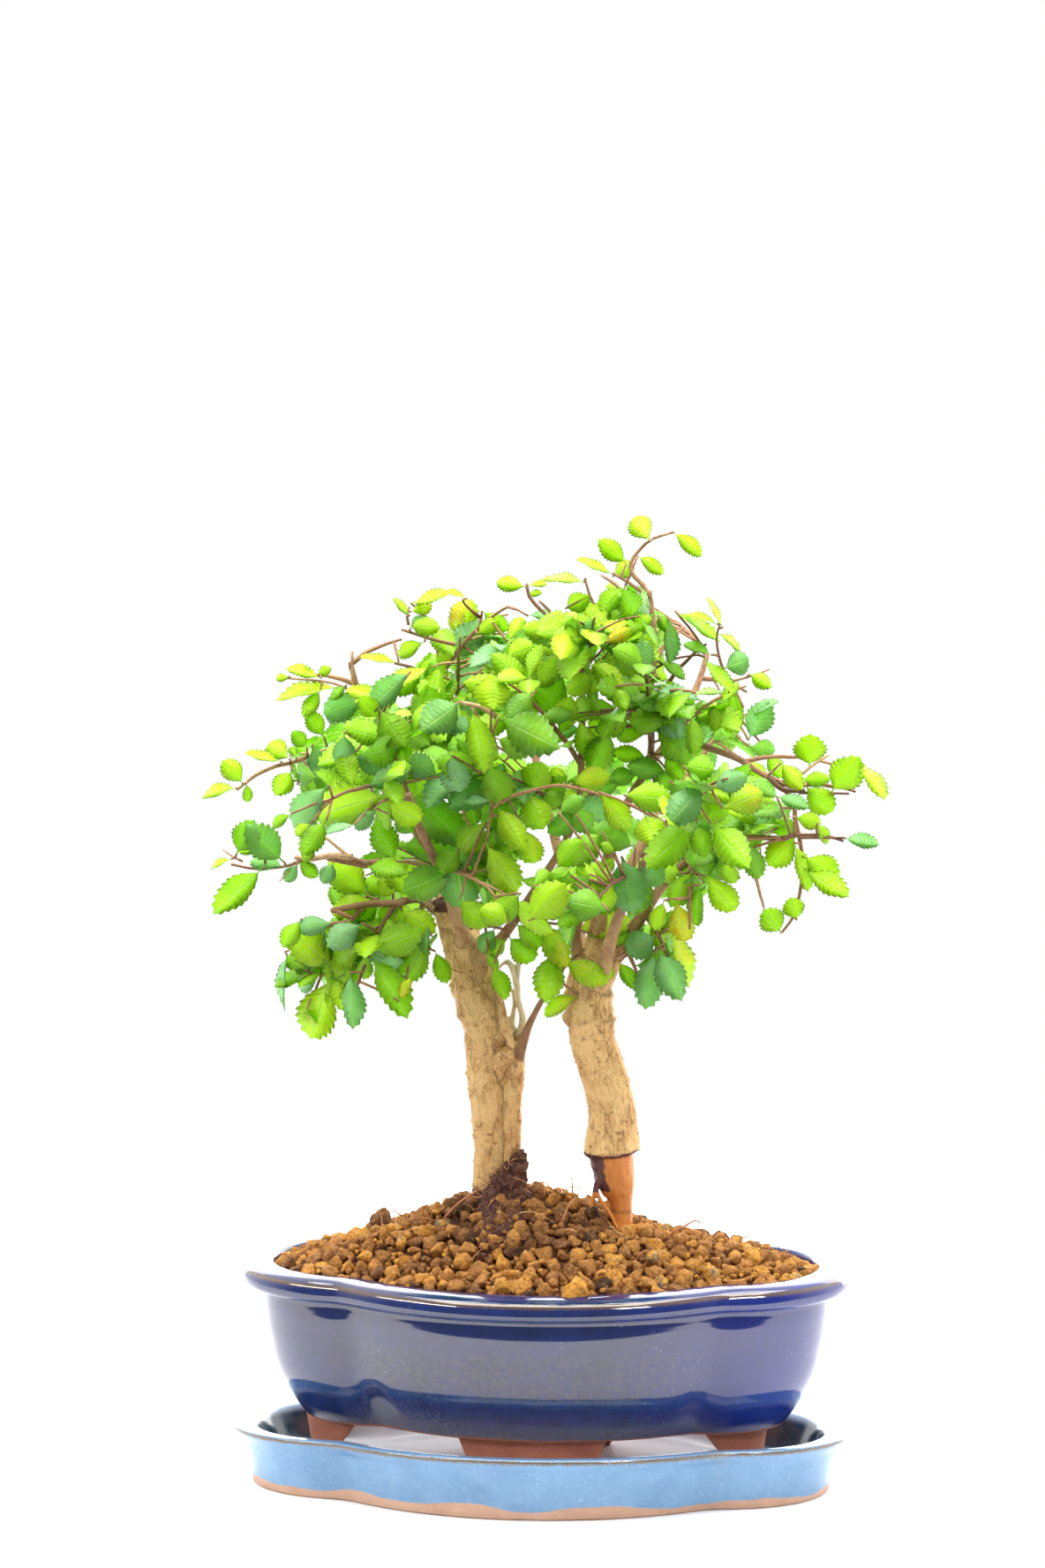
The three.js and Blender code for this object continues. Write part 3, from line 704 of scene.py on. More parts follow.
def lay_granules(draw, tries, sizes, sink, closeness):
    """Random places, kept only where no earlier granule of this layer is too close."""
    cells, laid = {}, []
    for size in sorted((sizes(draw) for _ in range(tries)), reverse=True):
        spot = on_soil(draw.random(), math.sqrt(draw.uniform(0, 0.985)))
        if any(math.hypot(spot.x - x, spot.y - y) < r for x, y, r in STEMS):
            continue
        column, row = int(spot.x // CELL), int(spot.y // CELL)
        cells_near = [cells.get((column + i, row + j), ()) for i in (-1, 0, 1) for j in (-1, 0, 1)]
        if any(math.hypot(spot.x - other.x, spot.y - other.y) < closeness * (size + other_size)
               for cell in cells_near for other, other_size in cell):
            continue
        spot.z -= sink + 0.18 * size + draw.uniform(0, 0.5)
        cells.setdefault((column, row), []).append((spot, size))
        laid.append((spot, size))
    return laid


draw = random.Random(7)
top_layer = lay_granules(draw, 12000, lambda d: 2.3 + 5.6 * d.random() ** 2.7, sink=0.2, closeness=0.33)
low_layer = lay_granules(draw, 6000, lambda d: d.uniform(2.4, 4.0), sink=2.2, closeness=0.43)
print("granules:", len(top_layer), "on", len(low_layer))

# %% Granules that stand out in the photograph
def darkening_near_trunk(spot):
    """How much darker the granules are made here: most in front of the left trunk."""
    return math.exp(-((spot.x + 12) ** 2 / 500 + (spot.y + 12) ** 2 / 500))


GRANULE_PIECES = 4
LARGE = 4.6
STRETCHES = [(0.85, 1.15), (0.8, 1.05), (0.75, 1)]
TONE_LIMIT = 0.89
CHOSEN = [
    (Vector((18, -53.5, 74)), 12.5, 0.8),
    (Vector((-32, -10, 89)), 6.5, 1),
    (Vector((-55, 8, 87)), 10, 0.22),
    (Vector((5, -3, 97)), 7.5, 0.62),
    (Vector((-2, -6, 96)), 7, 0.5),
    (Vector((41, -30, 84)), 5.5, 0.93),
]
heap = top_layer + low_layer
heap = [g for g in heap if all((g[0] - c[0]).length > (g[1] + c[1]) * 0.42 for c in CHOSEN)]
tones = [min(TONE_LIMIT, max(0, draw.gauss(0.52, 0.19)) - 0.22 * darkening_near_trunk(spot)) for spot, _ in heap]
heap = [(*laid, tone) for laid, tone in zip(heap, tones)] + CHOSEN
for part in range(GRANULE_PIECES):
    bm = bmesh.new()
    for spot, size, tone in heap[part::GRANULE_PIECES]:
        mesh = draw.choice(large_granules if size > LARGE else small_granules)
        stretch = Matrix.Diagonal([draw.uniform(low, high) for low, high in STRETCHES] + [1])
        matrix = Matrix.Translation(spot) @ turned(draw) @ stretch @ Matrix.Scale(size / 2, 4)
        copy_into(bm, mesh, matrix, tone)
    granules = finish_piece(bm, f"soil_granules_{part + 1}", [granule_clay])
    print(granules.name, len(granules.data.polygons))

# %% [markdown]
# ## Wood
#
# Each trunk and its branches grew as one piece. The stem, branches, stubs and roots are drawn as routes of
# (x, y, height, radius) points. A straight rod is bent along each, and a voxel remesh melts the rods into one
# skin, as clay would be smoothed over a joint. The knobs, creases and cracks are then pushed into the skin.

# %% Routes of the left tree
LEFT_WOOD = {
    "stem": [
        (-14, 5, 60, 7), (-16, 4, 85, 6.6), (-17, 4, 98, 6.2), (-17, 4, 113, 5.9), (-17.5, 3, 127, 6.3),
        (-18.5, 3, 141, 6.8), (-18.5, 2, 155, 7.4), (-22, 2, 168, 7.9), (-25, 1, 179, 7),
        (-29.5, 0, 190, 5.4), (-33, 0, 199, 3.6),
    ],
    "cut_knob": [(-29, -1, 189, 4.2), (-31.5, -4, 195, 3.9), (-32.5, -5.5, 198.5, 3.1)],
    "pruned_stub": [(-17, 3, 139, 4), (-10.5, -4.5, 147, 2.7)],
    "side_stem": [
        (-6, 3, 66, 3.4), (-9, 2, 87, 3.4), (-9.5, 2, 102, 3.3), (-9.5, 1, 127, 3.1), (-8, 0, 141, 3),
        (-7, -1, 150, 2.3),
    ],
    "dark_twig": [
        (-8.5, 0, 142, 2.6), (-6, -2, 149, 1.9), (-3, -4, 157, 1.3), (3, -8, 168, 0.95), (7, -10, 174, 0.8),
    ],
    "dead_stem": [
        (-7.3, 1, 143, 2), (-7.4, 1, 150, 1.7), (-5.9, 1, 157.6, 1.3), (-7.4, 1, 164, 1.1),
        (-8.2, 1, 171, 1.3), (-9.8, 1, 175.8, 1.1), (-11.4, 1, 177.8, 0.8),
    ],
    "dead_hook": [(-11, 1, 177.4, 0.8), (-13.2, 0.5, 176, 0.7), (-16, 0, 172.2, 0.45)],
    "dead_snag": [(-8.2, 1, 170, 1.1), (-7.2, 1, 176, 0.8), (-7.4, 1, 181, 0.5)],
    "dead_fork": [
        (-8.2, 2, 149, 1.3), (-9.7, 3, 156, 1.1), (-8.9, 3, 163, 0.9), (-10.2, 3, 168, 0.6),
        (-12.6, 3, 168.8, 0.35),
    ],
    "bark_ridge": [
        (-18, -2, 184, 0.9), (-15.2, -3.2, 175, 1.3), (-13.4, -3.2, 166, 1.3), (-11.2, -3, 156, 1.4),
        (-9, -2.5, 149, 1.2),
    ],
    "right_riser": [
        (-22, 0, 174, 2.8), (-10, -6, 189, 1.8), (1, -12, 205, 1.5), (11, -17, 221, 1.4), (15, -18, 234, 1.3),
        (16, -18, 247, 1.3), (16, -16, 268, 1.2), (15, -12, 282, 1),
    ],
    "left_arm": [
        (-28, 0, 190, 3.2), (-35, -4, 195, 1.9), (-40, -8, 199, 1.6), (-47, -12, 198, 1.4),
        (-56, -16, 198, 1.3), (-68, -20, 196, 1.1),
    ],
    "left_leader": [
        (-28, 2, 186, 3.4), (-38, 8, 210, 2.4), (-48, 12, 231, 1.9), (-57, 14, 250, 1.5), (-63, 14, 265, 1.2),
        (-66, 12, 277, 1),
    ],
    "left_low": [(-37, 7, 207, 2), (-48, -6, 211, 1.5), (-58, -18, 212, 1.4), (-69, -22, 214, 1.1)],
    "crown_left": [
        (-24, 4, 180, 3.6), (-26, 14, 207, 2.4), (-28, 22, 230, 1.9), (-32, 28, 253, 1.5),
        (-37, 30, 274, 1.2), (-40, 30, 287, 1),
    ],
    "back_left": [(-24, 5, 180, 3.2), (-36, 28, 203, 2.1), (-49, 48, 219, 1.6), (-64, 64, 230, 1.2)],
    "front_left": [(-25, -2, 182, 3), (-29, -22, 206, 1.9), (-35, -40, 226, 1.5), (-40, -54, 242, 1.2)],
    "root_left": [(-14, 5, 66, 3.6), (-36, 12, 56, 2.2), (-56, 8, 46, 1)],
    "root_front": [(-14, 5, 66, 3.6), (-8, -18, 56, 2), (-14, -34, 46, 1)],
    "root_back": [(-14, 5, 66, 3.6), (-2, 20, 54, 2), (-12, 34, 44, 1)],
}

# %% Routes of the right tree
RIGHT_WOOD = {
    "stem": [
        (31, -4, 58, 4.6), (29, -6, 80, 4), (28.3, -6, 96, 4.3), (27.3, -6, 102, 6.1), (25.6, -6, 109, 7.7),
        (25, -6, 116, 8.2), (25, -6, 127, 8), (23, -6, 138, 7.7), (20, -6, 147, 7.4), (18, -6, 156, 7.6),
        (17, -6, 168, 7.7), (17, -6, 177, 6),
    ],
    "tall_leader": [
        (18, -6, 168, 4.6), (20, -8, 186, 3.5), (22, -10, 203, 2.3), (26, -12, 221, 1.9), (32, -12, 235, 1.6),
        (38, -10, 247, 1.3), (38, -8, 269, 1.2), (39, -6, 286, 1.1), (37, -4, 303, 0.9),
    ],
    "right_sweep": [
        (15, -8, 170, 3), (13, -7, 187, 1.8), (15, -3, 205, 1.7), (17, 0, 228, 1.6), (18, 2, 249, 1.5),
        (23, 2, 258, 1.5), (30, 1, 260, 1.4), (42, -4, 256, 1.4), (54, -8, 252, 1.3), (67, -12, 248, 1.2),
        (76, -15, 243, 1.1), (89, -18, 238, 0.9),
    ],
    "right_arm": [
        (21, -5, 170, 3.6), (29, -8, 185, 2.4), (35, -12, 194, 2.1), (45, -18, 208, 1.7), (58, -22, 219, 1.5),
        (71, -26, 223, 1.2), (85, -28, 223, 1),
    ],
    "back_right": [
        (18, -3, 170, 3.4), (21, 20, 190, 2.2), (28, 40, 209, 1.8), (38, 56, 227, 1.5), (48, 66, 240, 1.2),
    ],
    "front_right": [(21, -10, 171, 3), (30, -34, 197, 1.9), (40, -50, 216, 1.5), (49, -62, 232, 1.2)],
    "back_centre": [
        (15, -3, 170, 3.4), (9, 24, 192, 2.2), (0, 44, 214, 1.8), (-7, 58, 234, 1.5), (-12, 66, 252, 1.1),
    ],
    "top_back": [(36, -10, 243, 1.6), (44, 12, 254, 1.5), (50, 26, 268, 1.2), (53, 34, 279, 1)],
    "air_root": [
        (21.5, -11, 106, 1.6), (20.3, -12, 103, 1.1), (22, -12.5, 99, 0.8), (25.5, -12.5, 94, 0.7),
        (28, -12, 88.5, 0.5),
    ],
    "air_root_back": [(20.5, -11.5, 104, 1.2), (19.4, -11.5, 100, 0.8), (18.6, -11.5, 96, 0.6)],
    "root_right": [(31, -4, 64, 3), (48, -14, 54, 2), (62, -10, 44, 1)],
    "root_back": [(31, -4, 64, 3), (40, 12, 56, 2), (52, 26, 46, 1)],
}

# %% Bending rods
def on_route(route, share):
    """The point and the radius at a share of the way along a soft curve through the route's points."""
    at = clipped(share) * (len(route) - 1)
    i = min(int(at), len(route) - 2)
    p1, p2 = Vector(route[i]), Vector(route[i + 1])
    p0 = Vector(route[i - 1]) if i else 2 * p1 - p2
    p3 = Vector(route[i + 2]) if i + 2 < len(route) else 2 * p2 - p1
    return soft_curve(p0, p1, p2, p3, at - i)


def walked(route, step):
    """Points about one step apart along the route."""
    length = sum(math.dist(a[:3], b[:3]) for a, b in zip(route, route[1:]))
    count = max(3, round(length / step))
    return [on_route(route, i / count) for i in range(count + 1)]


def rings_along(points):
    """A centre, two sideways directions, a radius and the distance walked, for every point of a line."""
    side, walked_so_far, rings = Vector((1, 0, 0)), 0, []
    for i, point in enumerate(points):
        before, after = points[max(i - 1, 0)], points[min(i + 1, len(points) - 1)]
        along = (after - before).to_3d().normalized()
        side = (side - along * side.dot(along)).normalized()
        walked_so_far += (point - before).to_3d().length
        rings.append((point.to_3d(), side, along.cross(side), point[3], walked_so_far))
    return rings


ROD_LAYERS = {"tone": "float", "leaf": "float_vector"}
rods = {}


def rod(sides, steps):
    """A straight rod of unit height and radius, cut into steps and kept to be used again."""
    if (sides, steps) not in rods:
        bm = bmesh.new()
        for name, kind in ROD_LAYERS.items():
            getattr(bm.verts.layers, kind).new(name)
        bmesh.ops.create_cone(bm, cap_ends=True, segments=sides, radius1=1, radius2=1, depth=1)
        bmesh.ops.translate(bm, vec=(0, 0, 0.5), verts=bm.verts)
        upright = [e for e in bm.edges if abs(e.verts[0].co.z - e.verts[1].co.z) > 0.5]
        bmesh.ops.subdivide_edges(bm, edges=upright, cuts=steps - 1)
        for face in bm.faces:
            face.material_index = 1
        rods[sides, steps] = kept_mesh(bm, f"rod_{sides}_{steps}")
    return rods[sides, steps]


def bend_rod(bm, points, sides, tone=0.5):
    """Adds a rod whose rings stand on the points, each as thick as its point says."""
    rings = rings_along(points)
    first = len(bm.verts)
    bm.from_mesh(rod(sides, len(points) - 1))
    bm.verts.ensure_lookup_table()
    layer = bm.verts.layers.float["tone"]
    for v in bm.verts[first:]:
        centre, side, across, radius, _ = rings[round(v.co.z * (len(points) - 1))]
        v.co = centre + (side * v.co.x + across * v.co.y) * radius
        v[layer] = tone

# %% Melting the rods into one skin
SMOOTHINGS = 2


def melted(bm, voxel):
    """One closed skin round everything in the bmesh, as a voxel remesh makes it."""
    mesh = kept_mesh(bm, "unmelted")
    lump = bpy.data.objects.new("lump", mesh)
    bpy.context.collection.objects.link(lump)
    remesh = lump.modifiers.new("melt", "REMESH")
    remesh.mode = "VOXEL"
    remesh.voxel_size = voxel
    skin = bpy.data.meshes.new_from_object(lump.evaluated_get(bpy.context.evaluated_depsgraph_get()))
    bpy.data.objects.remove(lump)
    bpy.data.meshes.remove(mesh)
    bm = bmesh.new()
    bm.from_mesh(skin)
    bpy.data.meshes.remove(skin)
    for _ in range(SMOOTHINGS):
        bmesh.ops.smooth_vert(bm, verts=bm.verts, factor=0.5,
                              use_axis_x=True, use_axis_y=True, use_axis_z=True)
    bm.normal_update()
    return bm

# %% [markdown]
# ## Bark
#
# Young elm bark is tan, with fine cracks that run along the limb, short rusty breathing pores that run round
# it, and knobs where twigs were cut. To let the grain follow every bend, each point of the skin remembers
# where it would be if its limb were straight. All the patterns are drawn in that straightened space.

# %% Straightened space and marks
class Limb:
    """A stem, branch or root with its rings, and its number, which gives it a grain of its own."""
    def __init__(self, name, route, number):
        self.name = name
        self.rings = rings_along(walked(route, 1.2))
        self.number = number


def limb_tree(limbs):
    """A search tree of all the rings, and the list of rings that it counts through."""
    samples = [(limb, ring) for limb in limbs for ring in limb.rings]
    tree = KDTree(len(samples))
    for i, (_, ring) in enumerate(samples):
        tree.insert(ring[0], i)
    tree.balance()
    return tree, samples


def nearest_limb(point, tree, samples):
    """The limb whose surface is nearest, and the point in its straightened space."""
    best = min(tree.find_n(point, 12), key=lambda hit: hit[2] - samples[hit[1]][1][3])
    limb, (centre, side, across, radius, distance) = samples[best[1]]
    away = point - centre
    along = side.cross(across)
    flat = Vector((away.dot(side), away.dot(across), distance + away.dot(along)))
    return limb, flat, radius

# %% Bark finish
def vector_of(tree, name):
    return add(tree, "Attribute", {"attribute_name": name}).outputs["Vector"]


def along_grain(tree, x, y, z):
    """Straightened space, scaled across (x, y) and along (z) the limb."""
    return add(tree, "Mapping", Vector=vector_of(tree, "straight"), Scale=(x, y, z)).outputs[0]


def bark_finish():
    material, tree, shader = new_finish("elm_bark", IOR=1.4)
    mottle = grain_of(tree, along_grain(tree, 0.16, 0.16, 0.1), 1, 5, 0.65)
    fibres = grain_of(tree, along_grain(tree, 1.5, 1.5, 0.35), 1, 5, 0.7)
    grit = grain_of(tree, along_grain(tree, 1.6, 1.6, 1.3), 1, 4, 0.7)
    bark = ramp(tree, mottle, [
        (0.25, rgb(0.56, 0.28, 0.105)),
        (0.42, rgb(0.74, 0.42, 0.16)),
        (0.55, rgb(0.93, 0.60, 0.26)),
        (0.75, rgb(0.72, 0.50, 0.20)),
    ])
    bark = mixed(tree, between(tree, grit, 0.5, 0.34, 0, 0.4), bark, rgb(0.44, 0.22, 0.075))
    bark = mixed(tree, between(tree, grit, 0.55, 0.68, 0, 0.5), bark, rgb(1.0, 0.79, 0.44))
    bark = mixed(tree, between(tree, fibres, 0.5, 0.32, 0, 0.3), bark, rgb(0.38, 0.18, 0.06))
    strewn = between(tree, spots_of(tree, along_grain(tree, 0.2, 0.2, 0.42), 1), 0.27, 0.12)
    patchy = between(tree, grain_of(tree, along_grain(tree, 0.11, 0.11, 0.11), 1, 2), 0.42, 0.56)
    pores = times(tree, strewn, patchy)
    bark = mixed(tree, times(tree, pores, 0.65), bark, rgb(0.42, 0.13, 0.045))
    split = add(tree, "TexVoronoi", {"feature": "DISTANCE_TO_EDGE"},
                Vector=along_grain(tree, 0.5, 0.5, 0.16), Scale=1)
    cracks = times(tree, between(tree, split.outputs["Distance"], 0.05, 0.01),
                  between(tree, mottle, 0.52, 0.4))
    bark = mixed(tree, times(tree, cracks, 0.35), bark, rgb(0.26, 0.12, 0.045))
    young = mixed(tree, fibres, rgb(0.20, 0.085, 0.042), rgb(0.52, 0.30, 0.155))
    colour = mixed(tree, attribute(tree, "age"), young, bark)
    peeled, stain_and_shade, dead = axes_of(tree, vector_of(tree, "marks"))
    streaks = grain_of(tree, along_grain(tree, 0.7, 0.7, 0.05), 1, 4, 0.6)
    wood = mixed(tree, between(tree, streaks, 0.25, 0.75), rgb(0.60, 0.19, 0.038), rgb(0.82, 0.33, 0.075))
    dead_wood = mixed(tree, fibres, rgb(0.80, 0.66, 0.42), rgb(1.0, 0.93, 0.72))
    colour = mixed(tree, dead, colour, dead_wood)
    colour = mixed(tree, peeled, colour, wood)
    # The stain mark gives dirt colour where peat and soil stained the bark, and painted shade on the right
    # foot.
    dirt_and_shade = mixed(tree, between(tree, grit, 0.35, 0.65), rgb(0.040, 0.014, 0.014), rgb(0.20, 0.085, 0.070))
    colour = mixed(tree, between(tree, stain_and_shade, 0.25, 0.7), colour, dirt_and_shade)
    height = plus(tree, times(tree, fibres, 0.5), times(tree, grit, 0.7))
    height = sums(tree, "SUBTRACT", height, plus(tree, cracks, times(tree, pores, 0.5)))
    height = times(tree, height, between(tree, peeled, 0, 1, 1, 0.15))
    feed(tree, shader, Base_Color=colour, Roughness=between(tree, peeled, 0, 1, 0.8, 0.4),
         Normal=bumps(tree, height, 0.0009, 0.9))
    return material


elm_bark = bark_finish()

# %% Knobs, creases and cracks
DEAD = ("dead_stem", "dead_hook", "dead_snag", "dead_fork")
OLD_BARK = ("side_stem", "bark_ridge", "cut_knob", "pruned_stub")
RING_HEIGHT = 113.8
RING_SLANT = 0.12
STAIN_AND_SHADE_TOP = 117
# Where each knob is, how wide it spreads and how far it rises. One that rises by less than 0 is a hollow.
LEFT_KNOBS = [
    (-25.5, -1, 159.5, 2.4, 1.3), (-30, -1, 167, 1.7, 0.9), (-12, -5, 144, 1.5, 1.2),
    (-15, -5.5, 146.5, 1.6, 0.9), (-9.5, -4, 148.5, 1.5, 1.1), (-14, -4.5, 141.5, 1.3, 0.9),
    (-7, -3.5, 143.5, 1.3, 1.0), (-15, -2.5, 112.4, 1.3, -0.8), (-19.5, -5.8, 166, 1.6, 0.5),
    (-24.5, -7, 176, 1.5, 0.5), (-23.6, 2, 123, 1.4, 0.6), (-20, -3, 132, 1.8, 0.4), (-19, -5, 152, 2.2, 0.5),
    (-5.6, -1, 131, 1.3, 0.6), (-22.8, 0, 101, 1.2, 0.5),
]
RIGHT_KNOBS = [
    (14.5, -13, 160, 1.5, -1.0), (18, -13.5, 158, 1.8, 1.0), (12.5, -11, 158.5, 1.6, 1.1),
    (22, -12, 160.5, 1.7, 1.0), (25, -8, 158, 1.5, 0.9), (10.5, -7, 160, 1.6, 1.1), (14, -10, 151, 1.2, 0.7),
    (29, -8, 129, 1.6, 0.7), (17, -13.5, 171, 2.0, 1.0), (21.5, -12.5, 173, 1.8, 0.9),
    (24.5, -8, 168, 1.6, 1.2), (20, -13.3, 139, 1.6, 0.5),
]


def hump(value, at, reach):
    """1 where the value is right at a place, falling softly to 0 on both sides of it."""
    return math.exp(-(((value - at) / reach) ** 2))


def crease(height, at, depth, reach):
    """A groove round the limb at this height, as a push below 0."""
    return -depth * hump(height, at, reach)


def left_marks(limb, p):
    """How far the bark is pushed out here, and how peeled, stained and dead it is."""
    push = 0
    if limb.name == "stem":
        push += crease(p.z + 0.25 * p.x + noise.noise(p * 0.3), 135.5, 0.55, 0.7)
        push += crease(p.z + noise.noise(p * 0.4), 121, 0.2, 0.5) + crease(p.z - 0.2 * p.x, 159, 0.3, 0.8)
    edge = (p.x + 20.8 - 0.72 * max(0, p.z - 97)) * 0.6
    ragged = 0.25 * noise.noise(p * 0.35) + 0.15 * noise.noise(p * 1.3)
    stain = (clipped(edge) * clipped((115 - p.z) / 3) + ragged) * (p.z < STAIN_AND_SHADE_TOP)
    stain = max(stain, (102 - p.z) / 4 + ragged if p.z < 103 else 0)
    around_knobs = math.exp(-((p.x + 8) ** 2 + (p.z - 144) ** 2) / 26)
    stain = max(stain, around_knobs * (0.34 + 0.3 * noise.noise(p * 0.8)))
    if limb.name == "cut_knob":
        stain = clipped((p.z - 193.5) / 2)
    return push, (0, max(0, stain), limb.name in DEAD)


def right_marks(limb, p):
    """The same for the right tree, whose foot is peeled up to a ring of bark. Its stain also holds painted
    shade.
    """
    push = 0
    ragged = p.z - RING_SLANT * (p.x - 25) + 0.5 * noise.noise(p * 0.35) + 0.3 * noise.noise(p * 1.1)
    low = limb.name in ("stem", "air_root", "air_root_back")
    peeled = low * clipped((RING_HEIGHT - ragged) / 0.5)
    if limb.name == "stem":
        push += 0.55 * hump(ragged - RING_HEIGHT, 1.3, 1.1) - 0.45 * peeled
        push += 0.9 * hump(ragged - RING_HEIGHT, 3, 3.4) * (1 - peeled)
        push += 0.7 * hump(p.z, 158.8, 1.6) * (0.6 + noise.noise(p * 0.6))
        waves = noise.noise(p * 0.4)
        upper = crease(p.z - 0.1 * p.x + waves, 155.5, 0.5, 0.7)
        push += upper + crease(p.z + waves, 146, 0.3, 0.6) + crease(p.z + 0.2 * p.x, 133, 0.2, 0.6)
    # Painted shade: the dark line under the lip of the bark ring, and the darker left side of the peeled
    # foot.
    ring = hump(ragged, RING_HEIGHT, 0.7) * (p.z < STAIN_AND_SHADE_TOP)
    band = 0.45 * hump(p.z, 94.6, 1.3)
    shadow = 24.8 + 2.2 * noise.noise(p * 0.35) - 0.12 * (p.z - 106)
    side = 0.75 * clipped((shadow - p.x) / 1.6) * clipped((p.z - 97) / 3) * (p.z < 115)
    stain = max(ring, band, side) if limb.name == "stem" or p.z > 101.5 else 0
    old_scar = hump(p.z - 0.1 * p.x, 157, 2.2) * (0.34 + 0.3 * noise.noise(p * 0.7))
    return push, (peeled, max(stain * (p.z < STAIN_AND_SHADE_TOP), old_scar * (limb.name == "stem")), 0)

# %% Growing a trunk
WOOD_VOXEL = 0.62
STEM_SIDES, LIMB_SIDES = 24, 12
GRAIN_APART = 40


def bark_age(limb, radius):
    """0 for a young green twig, 1 for thick old bark."""
    if limb.name == "dark_twig":
        return 0
    return 1 if limb.name in OLD_BARK else clipped((radius - 1.7) / 2)


def grow_trunk(name, wood, knobs, marks):
    """Builds one tree's wood: rods, one skin over them, then the grain, the marks and the knobs."""
    limbs = [Limb(key, route, i) for i, (key, route) in enumerate(wood.items())]
    bm = bmesh.new()
    for limb in limbs:
        bend_rod(bm, walked(wood[limb.name], 2), STEM_SIDES if limb.name == "stem" else LIMB_SIDES)
    bm = melted(bm, WOOD_VOXEL)
    tree, samples = limb_tree(limbs)
    straight = bm.verts.layers.float_vector.new("straight")
    marked = bm.verts.layers.float_vector.new("marks")
    aged = bm.verts.layers.float.new("age")
    pushes = []
    for v in bm.verts:
        limb, flat, radius = nearest_limb(v.co, tree, samples)
        age = bark_age(limb, radius)
        grain_at = flat + Vector((limb.number * GRAIN_APART, 0, 0))
        lumps = 0.07 * radius * noise.noise(v.co * 0.13) + 0.03 * radius * noise.noise(v.co * 0.4)
        long_grain = Vector((grain_at.x * 0.42, grain_at.y * 0.42, flat.z * 0.07))
        furrows = age * 0.3 * (0.45 - abs(noise.noise(long_grain)) * 2)
        warts = 0.45 * max(0, noise.noise(grain_at * 0.55) - 0.32) * 3 + 0.16 * noise.noise(v.co * 1.1)
        push, (peeled, stain, dead) = marks(limb, v.co)
        for x, y, z, reach, rise in knobs:
            far = (v.co - Vector((x, y, z))).length
            if far < 3 * reach:
                push += rise * hump(far, 0, reach)
        v[straight], v[marked], v[aged] = grain_at, (peeled, stain, dead), age
        pushes.append(lumps + (furrows + age * warts) * (1 - 0.8 * peeled) + push)
    for v, push in zip(bm.verts, pushes):
        v.co += v.normal * push
    piece = finish_piece(bm, name + "_bark", [elm_bark], [name])
    print(name, "faces:", len(piece.data.polygons))


grow_trunk("left_trunk", LEFT_WOOD, LEFT_KNOBS, left_marks)
grow_trunk("right_trunk", RIGHT_WOOD, RIGHT_KNOBS, right_marks)

# %% [markdown]
# ## Leaves
#
# An elm leaf is oval with a blunt tip, toothed along both edges and folded a little along its pale midrib.
# One leaf is a grid of two columns, one each side of the midrib, whose rows are pulled out to teeth and back.
# A copy of it, turned over and a fifth of a millimetre lower at the midrib, closes the underside. Each point
# keeps its place on the leaf, across and along, so that the veins can be drawn by the material.

# %% One toothed leaf
TEETH = 8
STALK = 0.1
HALF_WIDTH = 0.275
THINNEST = 0.014
TOOTH_OUT, TOOTH_IN = 0.028, 0.012
TOOTH_ON, TOOTH_BACK = 0.024, 0.006
TIP = 0.004
UNDERSIDE = 0.013


def blade_width(along, belly, blunt):
    """Half the width of the blade, as a share of the leaf's length."""
    s = max(0, (along - STALK) / (1 - STALK))
    return HALF_WIDTH * math.sin(math.pi * min(1, s) ** belly) ** blunt


def leaf_shape(number, bend, fold, twist, wide, belly, blunt):
    """A leaf of length 1 that points along y with its stalk at the origin and its upper face up."""
    bm = bmesh.new()
    rows = 2 * TEETH + 2
    bmesh.ops.create_grid(bm, x_segments=2, y_segments=rows, size=0.5)
    place_on_leaf = bm.verts.layers.float_vector.new("leaf")
    bm.verts.layers.float.new("tone")
    for v in bm.verts:
        row = round((v.co.y + 0.5) * rows)
        across = round(v.co.x * 2)
        along = STALK * row if row < 2 else STALK + (1 - STALK) * (row - 1) / (rows - 1)
        half = max(THINNEST, blade_width(along, belly, blunt) * wide)
        if across and 2 < row < rows:
            half += TOOTH_OUT if row % 2 == 0 else -TOOTH_IN
            along += TOOTH_ON if row % 2 == 0 else -TOOTH_BACK
        if row == rows:
            half = TIP
        v.co = Vector((across * half, along, 0))
        v[place_on_leaf] = (across, along, 0.5 if across else 0)
    under = bmesh.ops.duplicate(bm, geom=bm.verts[:] + bm.edges[:] + bm.faces[:])["geom"]
    bmesh.ops.reverse_faces(bm, faces=[g for g in under if isinstance(g, bmesh.types.BMFace)])
    for v in (g for g in under if isinstance(g, bmesh.types.BMVert)):
        if v[place_on_leaf].x == 0:
            v[place_on_leaf] = (0, v[place_on_leaf].y, 1)
            v.co.z -= UNDERSIDE
    bmesh.ops.remove_doubles(bm, verts=bm.verts, dist=0.0005)
    for v in bm.verts:
        x, s = v.co.x, max(0, v.co.y - STALK)
        v.co.z += fold * abs(x) - bend * s * s + 0.014 * math.sin(s * 14 + number) * (abs(x) > 0.02)
        turn = twist * s
        cos, sin = math.cos(turn), math.sin(turn)
        v.co.x, v.co.z = x * cos - v.co.z * sin, x * sin + v.co.z * cos
    return kept_mesh(bm, f"leaf_{number}")


